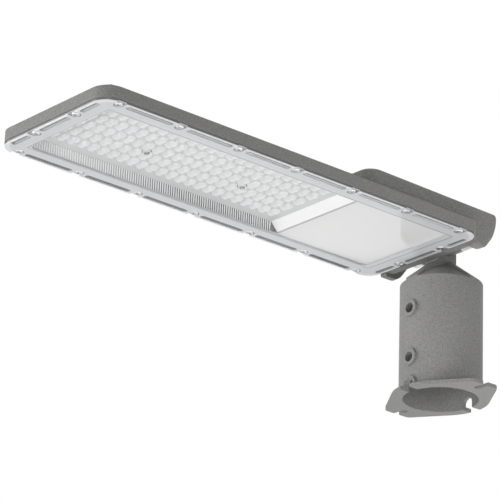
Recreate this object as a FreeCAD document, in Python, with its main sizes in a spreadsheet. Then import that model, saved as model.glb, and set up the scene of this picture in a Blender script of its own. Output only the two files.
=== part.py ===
import FreeCAD, Part
import math
import os

import Sketcher
from FreeCAD import Placement, Rotation, Vector

# LED street light head with a tilting pole adaptor.
# Millimetres, +Z up. Origin: centre of the adaptor's mouth, on the pole axis.
# +X points along the head to its free end, and the light leaves towards -Z.

os.makedirs("parts", exist_ok=True)
doc = FreeCAD.newDocument("street_light_head")

ROWS = [
    # pole adaptor
    ("pole_dia", 60.0, "pole that the socket takes"),
    ("pole_gap", 0.5, "radial play of the pole in the socket"),
    ("socket_wall", 3.1, "wall of the socket tube"),
    ("socket_len", 97.0, "straight length of the socket tube"),
    ("pole_stop_drop", 4.0, "pole stop below the top of the straight tube"),
    ("pole_stop_wide", 4.5, "ledge that stops the pole"),
    ("flange_thick", 3.0, "mouth flange, along the axis"),
    ("flange_out", 5.8, "mouth flange beyond the tube"),
    ("flange_angle", 34.5, "where the flange leaves its circle for the ears, degrees"),
    ("ear_reach", 51.0, "tip of an ear from the axis"),
    ("ear_corner", 5.0, "radius of the ear corners"),
    ("ear_slot_width", 5.5, "open slot in each ear"),
    ("ear_slot_in", 39.0, "inner end of the ear slot from the axis"),
    ("notch_width", 10.0, "notch in the mouth"),
    ("notch_top", 9.6, "top of the notch above the mouth"),
    ("clamp_hole_dia", 8.2, "clamp screw hole"),
    ("boss_dia", 14.0, "boss round a clamp screw hole"),
    ("boss_high", 2.0, "bosses beyond the tube"),
    ("notch_rim", 2.2, "boss round the notch"),
    ("clamp_low", 27.5, "lower clamp screw hole above the mouth"),
    ("clamp_high", 69.0, "upper clamp screw hole above the mouth"),
    ("shoulder_rise", 18.5, "cone of the shoulder, along the axis"),
    ("recess_low", 1.8, "front of the shoulder below its back, at the tube"),
    ("recess_high", 4.0, "front of the shoulder below its back, at the tongue"),
    ("shoulder_wall", 4.6, "wall of the shoulder, along the axis"),
    ("hollow_tip", 8.0, "top of the hollow from the axis"),
    ("cable_hole_dia", 14.0, "cable pass in the back of the shoulder"),
    ("cable_hole_back", 16.0, "cable pass behind the axis"),
    ("cable_hole_side", 17.0, "cable pass from the axis, across the head"),
    # tilt joint
    ("pivot_rise", 34.5, "pivot above the straight socket"),
    ("knuckle_dia", 20.0, "round end of the tongue and of the lugs"),
    ("tongue_width", 13.2, "tongue across the head"),
    ("tongue_play", 0.4, "side play of the tongue between the lugs"),
    ("lug_width", 15.0, "each lug across the head"),
    ("stop_gap", 0.3, "tongue to end wall with the head level"),
    ("bolt_dia", 10.0, "pivot bolt"),
    ("pivot_play", 0.05, "radial play of the tongue on the bolt"),
    ("bolt_play", 0.1, "radial play of the bolt in the lugs and washers"),
    ("bolt_flats", 17.0, "hexagon of the bolt and nut across flats"),
    ("bolt_head_high", 6.4, "bolt head"),
    ("nut_high", 8.0, "nut"),
    ("washer_dia", 20.0, "plain washer"),
    ("washer_thick", 2.0, "plain washer"),
    ("spring_washer_dia", 18.0, "spring washer"),
    ("spring_washer_thick", 2.2, "spring washer"),
    ("bolt_end", 2.8, "bolt beyond the nut"),
    # housing
    ("parting_drop", 13.0, "cover joint below the pivot"),
    ("end_wall", 6.7, "wall between the fork and the cover"),
    ("end_wall_drop", 1.5, "end wall below the cover joint"),
    ("fork_half", 47.0, "half of the gap between the cheeks"),
    ("cheek_wide", 7.1, "thickness of a cheek"),
    ("cheek_drop", 17.6, "bottom of the cheeks below the pivot"),
    ("cheek_foot", 3.0, "front end of the flat cheek bottom"),
    ("cheek_bend", 6.0, "bend of the cheek end behind the pivot"),
    ("cheek_bend_drop", 3.0, "bend of the cheek end below the pivot"),
    ("cheek_end", 10.0, "top of the cheek end behind the pivot"),
    ("cheek_foot_round", 9.0, "radius at the cheek foot"),
    ("cheek_bend_round", 28.0, "radius at the cheek bend"),
    ("cheek_pad_dia", 19.0, "round pad on the outside of a cheek"),
    ("cheek_pad_high", 0.5, "round pad on the outside of a cheek"),
    ("cheek_top_round", 3.0, "radius at the cheek top"),
    ("tray_lip", 0.8, "tray beyond the cover"),
    ("tray_high", 16.0, "cover joint to the back plate"),
    ("tray_side", 9.5, "upright part of the tray side"),
    ("tray_slope", 13.6, "width of the sloped edge of the back"),
    ("tray_corner", 15.0, "corner radius of the tray"),
    ("back_plate", 3.0, "back plate over the lamps"),
    ("bay_long", 113.0, "driver bay on the back, from the tray end"),
    ("bay_rise", 11.6, "top of the bay above the back plate, at the fork"),
    ("bay_climb", 1.7, "further rise of the bay top at its front"),
    ("bay_corner", 12.0, "corner radius of the bay front"),
    ("bay_edge", 2.5, "radius along the top of the bay"),
    ("bay_roof", 2.6, "roof of the bay"),
    ("bay_wall", 2.5, "side and front walls of the bay"),
    ("fin_wide", 2.4, "cooling fin"),
    ("fin_high", 5.5, "cooling fin above the back plate"),
    ("fin_pitch", 6.0, "fin to fin"),
    ("fin_count", 15.0, "number of fins"),
    ("fin_start", 6.0, "bay front to the fins"),
    ("fin_end", 22.0, "fins to the free end"),
    # clear cover
    ("cover_gap", 2.7, "end wall to the cover edge"),
    ("cover_long", 380.0, "cover along the head"),
    ("cover_wide", 129.6, "cover across the head"),
    ("cover_corner", 13.0, "corner radius of the cover"),
    ("cover_thick", 2.4, "cover flange"),
    ("panel_wide", 96.0, "recessed panel across the head"),
    ("panel_end", 15.7, "panel to the free end of the cover"),
    ("panel_start", 20.3, "panel to the fork end of the cover"),
    ("panel_corner", 6.5, "corner radius of the panel"),
    ("panel_recess", 1.6, "panel behind the flange face"),
    ("panel_thick", 2.0, "panel"),
    ("basin_ledge", 0.5, "panel edge to the lens basin wall"),
    ("basin_deep", 9.8, "flange face to the basin floor"),
    ("basin_wall", 2.0, "walls and floor of the lens basin"),
    ("basin_run", 7.5, "run of the sloped basin end"),
    ("lens_cols", 24.0, "lenses along the head"),
    ("lens_rows", 5.0, "lenses across the head"),
    ("lens_step", 9.52, "lens pitch along the head"),
    ("lens_row_step", 15.4, "lens pitch across the head"),
    ("lens_end", 9.5, "last lens centre to the basin wall"),
    ("lens_start", 12.5, "first lens centre to the basin slope"),
    ("lens_wide", 8.8, "lens along the head"),
    ("lens_long", 14.0, "lens across the head"),
    ("lens_waist", 1.0, "dip between the two lobes of a lens"),
    ("lens_high", 3.5, "lens above the basin floor"),
    ("lens_top_wide", 4.4, "top of a lens along the head"),
    ("lens_top_long", 8.4, "top of a lens across the head"),
    ("flute_step", 2.25, "flute pitch on the basin walls"),
    ("flute_wide", 1.5, "width of a flute"),
    ("flute_deep", 0.7, "depth of a flute"),
    ("pocket_wide", 4.8, "long pocket in the flange"),
    ("pocket_deep", 1.0, "depth of the flange pockets"),
    ("pocket_lip", 1.8, "lip outside the flange pockets"),
    ("pocket_clear", 7.0, "pocket end to the screw centre"),
    # cover fixing and seal
    ("screw_inset", 4.8, "cover screw to the cover edge"),
    ("screw_first", 16.1, "first side screw to the free end of the cover"),
    ("screw_step", 57.4, "side screw pitch"),
    ("screw_count", 7.0, "screws along each side"),
    ("end_screw_half", 24.1, "end screws from the middle"),
    ("screw_dia", 4.0, "cover screw"),
    ("screw_long", 8.5, "cover screw below its head"),
    ("screw_head_dia", 6.4, "cover screw head"),
    ("screw_head_high", 1.8, "cover screw head"),
    ("screw_play", 0.1, "radial play of the small screws in their holes"),
    ("seat_wide", 7.6, "open seat round a cover screw head"),
    ("seat_deep", 1.4, "depth of the screw seat"),
    ("seal_inset", 8.8, "middle of the seal to the cover edge"),
    ("seal_wide", 2.8, "width of the seal groove"),
    ("seal_deep", 2.0, "depth of the seal groove"),
    ("seal_play", 0.1, "seal to the groove sides"),
    ("cavity_inset", 12.2, "tray cavity to the cover edge"),
    ("cavity_corner", 5.0, "corner radius of the tray cavity"),
    # lamp board
    ("board_thick", 1.6, "lamp board"),
    ("board_wide", 88.0, "lamp board across the head"),
    ("board_end", 9.0, "board beyond the last lamps at the free end"),
    ("board_start", 25.0, "board beyond the last lamps at the bay"),
    ("chip_wide", 3.0, "lamp chip"),
    ("chip_high", 0.8, "lamp chip"),
    ("board_screw_dia", 3.0, "board screw"),
    ("board_screw_head", 6.0, "board screw head"),
    ("board_screw_high", 1.5, "board screw head"),
    ("board_screw_long", 3.8, "board screw below its head"),
    ("board_screw_col", 7.5, "first board screw, in lens columns from the free end"),
    ("board_screw_cols", 10.0, "lens columns between the board screws"),
    ("plug_long", 5.4, "lamp board connector along the head"),
    ("plug_wide", 12.0, "lamp board connector across the head"),
    ("plug_high", 3.6, "lamp board connector"),
    # driver bay
    ("shield_drop", 3.1, "shield plate above the cover joint"),
    ("shield_thick", 1.0, "shield plate"),
    ("shield_skirt", 1.5, "thickness of the shield skirt"),
    ("shield_inset", 0.5, "shield inside the panel walls"),
    ("shield_front", 4.0, "shield to the foot of the basin slope"),
    ("post_dia", 7.0, "posts above the shield"),
    ("post_in", 5.0, "post centre inside the shield edge"),
    ("driver_long", 66.0, "driver case"),
    ("driver_wide", 44.0, "driver case"),
    ("driver_high", 19.0, "driver case"),
    ("driver_start", 13.0, "driver case from the cavity wall"),
    ("driver_side", -12.0, "middle of the driver case across the head"),
    ("driver_ear", 8.0, "fixing ears of the driver"),
    ("driver_ear_thick", 2.0, "fixing ears of the driver"),
    ("block_long", 30.0, "terminal block"),
    ("block_wide", 17.0, "terminal block"),
    ("block_high", 12.0, "terminal block"),
    ("block_side", 27.0, "middle of the terminal block across the head"),
    ("block_start", 24.0, "terminal block from the cavity wall"),
    ("earth_start", 10.0, "earth screw from the cavity wall"),
    ("earth_side", 28.0, "earth screw from the middle"),
    # cable gland
    ("gland_dia", 12.0, "gland thread"),
    ("gland_bore", 7.0, "gland bore"),
    ("gland_flats", 15.0, "gland hexagons across flats"),
    ("gland_flange", 4.0, "fixed gland hexagon"),
    ("gland_thread_in", 9.0, "gland thread in the wall"),
    ("gland_thread_out", 6.0, "gland thread under the nut"),
    ("gland_nut_long", 9.0, "gland nut"),
    ("gland_side", 38.8, "gland axis across the head"),
    ("gland_rise", 3.5, "gland axis above the pivot"),
]


class Size:
    """A length: its number and the sheet expression that gives it."""

    def __init__(self, number, text):
        self.number = float(number)
        self.text = text

    def __add__(self, other):
        other = size(other)
        return Size(self.number + other.number, "(%s + %s)" % (self.text, other.text))

    def __sub__(self, other):
        other = size(other)
        return Size(self.number - other.number, "(%s - %s)" % (self.text, other.text))

    def __mul__(self, other):
        other = size(other)
        return Size(self.number * other.number, "(%s * %s)" % (self.text, other.text))

    def __truediv__(self, other):
        other = size(other)
        return Size(self.number / other.number, "(%s / %s)" % (self.text, other.text))

    def __radd__(self, other):
        return size(other) + self

    def __rsub__(self, other):
        return size(other) - self

    def __rmul__(self, other):
        return size(other) * self

    def __neg__(self):
        return Size(-self.number, "(-1 * %s)" % self.text)


def size(value):
    if isinstance(value, Size):
        return value
    return Size(value, "(%s)" % repr(float(value)))


def cosine(angle):
    return Size(math.cos(math.radians(angle.number)), "cos(%s * 1 deg)" % angle.text)


def sine(angle):
    return Size(math.sin(math.radians(angle.number)), "sin(%s * 1 deg)" % angle.text)


def whole(value):
    return Size(math.floor(value.number), "floor(%s)" % value.text)


def root(value):
    return Size(math.sqrt(value.number), "sqrt(%s)" % value.text)


class Sizes:
    """The sheet's aliases as Size attributes."""


def make_sheet(rows):
    sheet = doc.addObject("Spreadsheet::Sheet", "sheet")
    names = Sizes()
    for i, (alias, value, note) in enumerate(rows):
        cell = "A%d" % (i + 1)
        sheet.set(cell, str(value))
        sheet.setAlias(cell, alias)
        sheet.set("B%d" % (i + 1), note)
        setattr(names, alias, Size(value, "sheet.%s" % alias))
    doc.recompute()
    return names


S = make_sheet(ROWS)
nodes = []


def body(name, several=False):
    made = doc.addObject("PartDesign::Body", name)
    made.Label = name
    if several:
        made.AllowCompound = True
    made.Placement = Placement(Vector(0, 0, 0), Rotation())
    nodes.append(made)
    return made


def place(made, x=0.0, y=0.0, z=0.0):
    for axis, value in (("x", x), ("y", y), ("z", z)):
        made.setExpression("Placement.Base.%s" % axis, size(value).text)


def sketch(owner, name, plane, offset=0.0):
    """A sketch on one of the body's own origin planes, moved along its normal."""
    planes = {item.Role: item for item in owner.Origin.OriginFeatures}
    made = owner.newObject("Sketcher::SketchObject", name)
    made.AttachmentSupport = [(planes[plane], "")]
    made.MapMode = "FlatFace"
    made.setExpression(".AttachmentOffset.Base.z", size(offset).text)
    return made


def fix(sk, geo, point, x=None, y=None):
    for kind, value in (("DistanceX", x), ("DistanceY", y)):
        if value is not None:
            value = size(value)
            index = sk.addConstraint(Sketcher.Constraint(kind, -1, 1, geo, point, value.number))
            sk.setExpression("Constraints[%d]" % index, value.text)


def polygon(sk, points):
    points = [(size(x), size(y)) for x, y in points]
    first = sk.GeometryCount
    count = len(points)
    spots = [Vector(x.number, y.number, 0) for x, y in points]
    for i in range(count):
        sk.addGeometry(Part.LineSegment(spots[i], spots[(i + 1) % count]), False)
    for i in range(count):
        after = first + (i + 1) % count
        sk.addConstraint(Sketcher.Constraint("Coincident", first + i, 2, after, 1))
        fix(sk, first + i, 1, points[i][0], points[i][1])


def box(sk, x0, x1, y0, y1):
    polygon(sk, [(x0, y0), (x1, y0), (x1, y1), (x0, y1)])


def circle(sk, x, y, dia):
    x, y, dia = size(x), size(y), size(dia)
    geo = sk.GeometryCount
    centre = Vector(x.number, y.number, 0)
    sk.addGeometry(Part.Circle(centre, Vector(0, 0, 1), dia.number / 2), False)
    fix(sk, geo, 3, x, y)
    index = sk.addConstraint(Sketcher.Constraint("Diameter", geo, dia.number))
    sk.setExpression("Constraints[%d]" % index, dia.text)


def outline(sk, parts):
    """A closed outline of lines, and of arcs where a corner has a centre.

    Each part is a start point and the centre of the arc that leaves it
    anticlockwise, or None for a straight line.
    """
    parts = [((size(p[0]), size(p[1])), c) for p, c in parts]
    first = sk.GeometryCount
    count = len(parts)
    for i in range(count):
        (x0, y0), centre = parts[i]
        (x1, y1), _ = parts[(i + 1) % count]
        start = Vector(x0.number, y0.number, 0)
        end = Vector(x1.number, y1.number, 0)
        if centre is None:
            sk.addGeometry(Part.LineSegment(start, end), False)
            continue
        middle = Vector(size(centre[0]).number, size(centre[1]).number, 0)
        ray, stop = start - middle, end - middle
        turn = math.atan2(stop.y, stop.x) - math.atan2(ray.y, ray.x)
        if turn <= 0:
            turn += 2 * math.pi
        whole_circle = Part.Circle(middle, Vector(0, 0, 1), ray.Length)
        from_angle = math.atan2(ray.y, ray.x)
        sk.addGeometry(Part.ArcOfCircle(whole_circle, from_angle, from_angle + turn), False)
    for i in range(count):
        after = first + (i + 1) % count
        sk.addConstraint(Sketcher.Constraint("Coincident", first + i, 2, after, 1))
        fix(sk, first + i, 1, parts[i][0][0], parts[i][0][1])
        if parts[i][1] is not None:
            chord_x = parts[(i + 1) % count][0][0].number - parts[i][0][0].number
            chord_y = parts[(i + 1) % count][0][1].number - parts[i][0][1].number
            if abs(chord_x) > abs(chord_y):
                fix(sk, first + i, 3, y=parts[i][1][1])
            else:
                fix(sk, first + i, 3, x=parts[i][1][0])


def round_box(sk, x0, x1, y0, y1, r):
    outline(sk, [
        ((x0 + r, y0), None),
        ((x1 - r, y0), (x1 - r, y0 + r)),
        ((x1, y0 + r), None),
        ((x1, y1 - r), (x1 - r, y1 - r)),
        ((x1 - r, y1), None),
        ((x0 + r, y1), (x0 + r, y1 - r)),
        ((x0, y1 - r), None),
        ((x0, y0 + r), (x0 + r, y0 + r)),
    ])


def hexagon(sk, x, y, flats, flats_on_x):
    """A regular hexagon with two flats across x, or across y."""
    half = flats / 2
    corner = flats * (1 / math.sqrt(3))
    ring = [(half, corner / 2), (size(0), corner), (-half, corner / 2)]
    ring += [(-half, -corner / 2), (size(0), -corner), (half, -corner / 2)]
    if not flats_on_x:
        ring = [(b, a) for a, b in ring]
    polygon(sk, [(x + a, y + b) for a, b in ring])


def octagon(sk, x, y, dia):
    """The round hole or shank of a small screw, with eight sides."""
    half = size(dia) / 2
    corner = half * math.tan(math.pi / 8)
    ring = [(half, -corner), (half, corner), (corner, half), (-corner, half)]
    ring += [(-half, corner), (-half, -corner), (-corner, -half), (corner, -half)]
    polygon(sk, [(x + a, y + b) for a, b in ring])


def volume(owner):
    return owner.Shape.Volume


def extrude(owner, name, sk, length, up=True, middle=False):
    """A pad along the sketch's normal, against it, or half to each side."""
    made = owner.newObject("PartDesign::Pad", name)
    made.Profile = sk
    made.setExpression("Length", size(length).text)
    made.Reversed = not up
    if middle:
        made.SideType = "Symmetric"
    doc.recompute()
    return made


def cut(owner, name, sk, length=None, up=True, middle=False):
    """A pocket along the sketch's normal, right through where no length is given."""
    before = volume(owner)
    made = owner.newObject("PartDesign::Pocket", name)
    made.Profile = sk
    made.Reversed = up
    if length is None:
        made.Type = "ThroughAll"
    else:
        made.setExpression("Length", size(length).text)
    if middle:
        made.SideType = "Symmetric"
    doc.recompute()
    if volume(owner) >= before - 1e-6:
        raise RuntimeError("%s removes nothing" % name)
    return made


def repeat(owner, name, features, axis, step, count):
    axes = {item.Role: item for item in owner.Origin.OriginFeatures}
    made = owner.newObject("PartDesign::LinearPattern", name)
    made.Originals = features
    made.Direction = (axes[axis], [""])
    made.Mode = "Spacing"
    made.setExpression("Offset", step.text)
    made.setExpression("Occurrences", count.text)
    made.Refine = False
    owner.Tip = made
    doc.recompute()
    return made


def edges(shape, test):
    """Names of the edges whose two ends and middle pass the test."""
    found = []
    for i, edge in enumerate(shape.Edges):
        ends = [v.Point for v in edge.Vertexes]
        middle = edge.valueAt((edge.FirstParameter + edge.LastParameter) / 2)
        if test(ends, middle, edge):
            found.append("Edge%d" % (i + 1))
    return found


def upright(ends):
    return len(ends) == 2 and abs(ends[0].z - ends[1].z) > 0.5 and \
        abs(ends[0].x - ends[1].x) < 1e-4 and abs(ends[0].y - ends[1].y) < 1e-4


def fillet(owner, name, base, names, radius):
    made = owner.newObject("PartDesign::Fillet", name)
    made.Base = (base, names)
    made.setExpression("Radius", radius.text)
    doc.recompute()
    return made


def chamfer(owner, name, base, names, width, width2=None):
    made = owner.newObject("PartDesign::Chamfer", name)
    made.Base = (base, names)
    made.setExpression("Size", width.text)
    if width2 is not None:
        made.ChamferType = "Two distances"
        made.setExpression("Size2", width2.text)
    doc.recompute()
    return made


def near(a, b, within=1e-3):
    return abs(a - size(b).number) < within


# Shared places
bore_r = S.pole_dia / 2 + S.pole_gap
socket_r = bore_r + S.socket_wall
pivot_z = S.socket_len + S.pivot_rise
knuckle_r = S.knuckle_dia / 2
tongue_half = S.tongue_width / 2
lug_in = tongue_half + S.tongue_play
lug_out = lug_in + S.lug_width
parting_z = pivot_z - S.parting_drop
back_z = parting_z + S.tray_high
fork_x = knuckle_r + S.stop_gap
tray_x0 = fork_x + S.end_wall
cover_x0 = tray_x0 + S.cover_gap
cover_x1 = cover_x0 + S.cover_long
cover_half = S.cover_wide / 2
tray_x1 = cover_x1 + S.tray_lip
tray_half = cover_half + S.tray_lip
bay_half = S.fork_half + S.cheek_wide
bay_x1 = tray_x0 + S.bay_long
bay_top = back_z + S.bay_rise
bay_ceiling = bay_top - S.bay_roof
lamp_ceiling = back_z - S.back_plate
face_z = parting_z - S.cover_thick
panel_z = face_z + S.panel_recess
floor_z = face_z + S.basin_deep
floor_top = floor_z + S.basin_wall
panel_half = S.panel_wide / 2
panel_x0 = cover_x0 + S.panel_start
panel_x1 = cover_x1 - S.panel_end
panel_top = panel_z + S.panel_thick
basin_half = panel_half - S.basin_ledge
basin_x1 = panel_x1 - S.basin_ledge
lens_x1 = basin_x1 - S.lens_end
lens_x0 = lens_x1 - (S.lens_cols - 1) * S.lens_step
slope_top = lens_x0 - S.lens_start
slope_foot = slope_top - S.basin_run
lens_y0 = (S.lens_rows - 1) * S.lens_row_step / -2
cavity_x0 = cover_x0 + S.cavity_inset
cavity_x1 = cover_x1 - S.cavity_inset
cavity_half = cover_half - S.cavity_inset
board_z = lamp_ceiling - S.board_thick
screw_y = cover_half - S.screw_inset
screw_x1 = cover_x1 - S.screw_first
screw_x0 = screw_x1 - (S.screw_count - 1) * S.screw_step
seat_z = face_z + S.seat_deep
board_screw_x = lens_x1 - S.board_screw_col * S.lens_step
board_screw_y = -S.lens_row_step / 2
shield_z = parting_z + S.shield_drop
shield_top = shield_z + S.shield_thick
shield_x0 = panel_x0 - S.panel_thick + S.shield_inset
shield_x1 = slope_foot - S.shield_front
shield_half = panel_half + S.panel_thick - S.shield_inset
gland_z = pivot_z + S.gland_rise


def adaptor():
    """Cast socket for the pole, with a slotted flange and the tongue of the joint."""
    own = body("pole_adaptor")
    tube_top = S.socket_len - S.recess_low
    shoulder_z = S.socket_len + S.shoulder_rise
    tube = sketch(own, "adaptor_tube", "XY_Plane")
    circle(tube, 0, 0, 2 * socket_r)
    extrude(own, "adaptor_tube_pad", tube, tube_top)

    ring = sketch(own, "adaptor_flange", "XY_Plane")
    circle(ring, 0, 0, 2 * (socket_r + S.flange_out))
    extrude(own, "adaptor_flange_pad", ring, S.flange_thick)

    flange_r = socket_r + S.flange_out
    touch_x = flange_r * cosine(S.flange_angle)
    touch_y = flange_r * sine(S.flange_angle)
    tip_x = (flange_r - S.ear_reach * sine(S.flange_angle)) / cosine(S.flange_angle)
    ears = sketch(own, "adaptor_ears", "XY_Plane")
    polygon(ears, [
        (touch_x, -touch_y), (touch_x, touch_y), (tip_x, S.ear_reach), (-tip_x, S.ear_reach),
        (-touch_x, touch_y), (-touch_x, -touch_y), (-tip_x, -S.ear_reach), (tip_x, -S.ear_reach),
    ])
    pad = extrude(own, "adaptor_ears_pad", ears, S.flange_thick)
    tips = edges(own.Shape, lambda ends, mid, e: upright(ends) and near(abs(mid.y), S.ear_reach))
    fillet(own, "adaptor_ear_corners", pad, tips, S.ear_corner)

    # shoulder: a half cone behind, a lower one in front, and the rib and tongue between
    def half_cone(name, points):
        profile = sketch(own, name, "XZ_Plane")
        polygon(profile, points)
        turned = own.newObject("PartDesign::Revolution", name + "_turn")
        turned.Profile = profile
        turned.ReferenceAxis = (profile, ["V_Axis"])
        turned.Angle = 180
        turned.Midplane = True
        doc.recompute()

    front_top = shoulder_z - S.recess_high
    half_cone("adaptor_back_cone", [
        (0, tube_top), (-socket_r, tube_top), (-socket_r, S.socket_len),
        (-knuckle_r, shoulder_z), (0, shoulder_z),
    ])
    half_cone("adaptor_front_cone", [
        (0, tube_top), (socket_r, tube_top), (knuckle_r, front_top), (0, front_top),
    ])
    rib_x = root(socket_r * socket_r - tongue_half * tongue_half)
    rib = sketch(own, "adaptor_tongue", "XZ_Plane")
    outline(rib, [
        ((-knuckle_r, tube_top), None),
        ((rib_x, tube_top), None),
        ((rib_x, S.socket_len), None),
        ((knuckle_r, shoulder_z), None),
        ((knuckle_r, pivot_z), (0, pivot_z)),
        ((-knuckle_r, pivot_z), None),
    ])
    extrude(own, "adaptor_tongue_pad", rib, S.tongue_width, middle=True)

    # bosses of the clamp screws and of the notch, on the front of the tube
    bosses = sketch(own, "adaptor_bosses", "YZ_Plane", socket_r - S.boss_high)
    for height in (S.clamp_low, S.clamp_high):
        circle(bosses, 0, height, S.boss_dia)
    notch_r = S.notch_width / 2
    notch_z = S.notch_top - notch_r
    rim_r = notch_r + S.notch_rim
    outline(bosses, [
        ((-rim_r, 0), None),
        ((rim_r, 0), None),
        ((rim_r, notch_z), (0, notch_z)),
        ((-rim_r, notch_z), None),
    ])
    extrude(own, "adaptor_bosses_pad", bosses, 2 * S.boss_high)

    # bore for the pole up to its stop, and the hollow under the shoulder
    stop_z = S.socket_len - S.pole_stop_drop
    inside = sketch(own, "adaptor_bore", "XY_Plane")
    circle(inside, 0, 0, 2 * bore_r)
    cut(own, "adaptor_bore_cut", inside, stop_z)
    fall = (front_top - tube_top) / (socket_r - knuckle_r)
    hollow_r = bore_r - S.pole_stop_wide
    hollow_low = tube_top + (socket_r - hollow_r) * fall - S.shoulder_wall
    hollow_high = tube_top + (socket_r - S.hollow_tip) * fall - S.shoulder_wall
    hollow = sketch(own, "adaptor_hollow", "XZ_Plane")
    polygon(hollow, [
        (0, stop_z), (-hollow_r, stop_z), (-hollow_r, hollow_low), (-S.hollow_tip, hollow_high),
        (0, hollow_high),
    ])
    before = volume(own)
    groove = own.newObject("PartDesign::Groove", "adaptor_hollow_turn")
    groove.Profile = hollow
    groove.ReferenceAxis = (hollow, ["V_Axis"])
    groove.Angle = 360
    doc.recompute()
    if volume(own) >= before:
        raise RuntimeError("adaptor hollow removes nothing")

    # open slots in the ears, and the cable pass behind the tongue
    slot_r = S.ear_slot_width / 2
    slots = sketch(own, "adaptor_ear_slots", "XY_Plane")
    slot_mid = S.ear_slot_in + slot_r
    slot_end = S.ear_reach + 1
    outline(slots, [
        ((-slot_r, slot_mid), (0, slot_mid)),
        ((slot_r, slot_mid), None),
        ((slot_r, slot_end), None),
        ((-slot_r, slot_end), None),
    ])
    outline(slots, [
        ((slot_r, -slot_mid), (0, -slot_mid)),
        ((-slot_r, -slot_mid), None),
        ((-slot_r, -slot_end), None),
        ((slot_r, -slot_end), None),
    ])
    cut(own, "adaptor_ear_slots_cut", slots, S.flange_thick)
    passes = sketch(own, "adaptor_cable_hole", "XY_Plane", stop_z)
    circle(passes, -S.cable_hole_back, S.cable_hole_side, S.cable_hole_dia)
    cut(own, "adaptor_cable_hole_cut", passes, shoulder_z - stop_z)

    # notch across the mouth, and the clamp screw holes
    notch = sketch(own, "adaptor_notch", "YZ_Plane")
    outline(notch, [
        ((-notch_r, -1), None),
        ((notch_r, -1), None),
        ((notch_r, notch_z), (0, notch_z)),
        ((-notch_r, notch_z), None),
    ])
    cut(own, "adaptor_notch_cut", notch, None, middle=True)
    holes = sketch(own, "adaptor_clamp_holes", "YZ_Plane")
    for height in (S.clamp_low, S.clamp_high):
        circle(holes, 0, height, S.clamp_hole_dia)
    cut(own, "adaptor_clamp_holes_cut", holes, socket_r + S.boss_high + 1)

    eye = sketch(own, "adaptor_pivot", "XZ_Plane")
    circle(eye, 0, pivot_z, S.bolt_dia + 2 * S.pivot_play)
    cut(own, "adaptor_pivot_cut", eye, None, middle=True)
    return own


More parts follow.
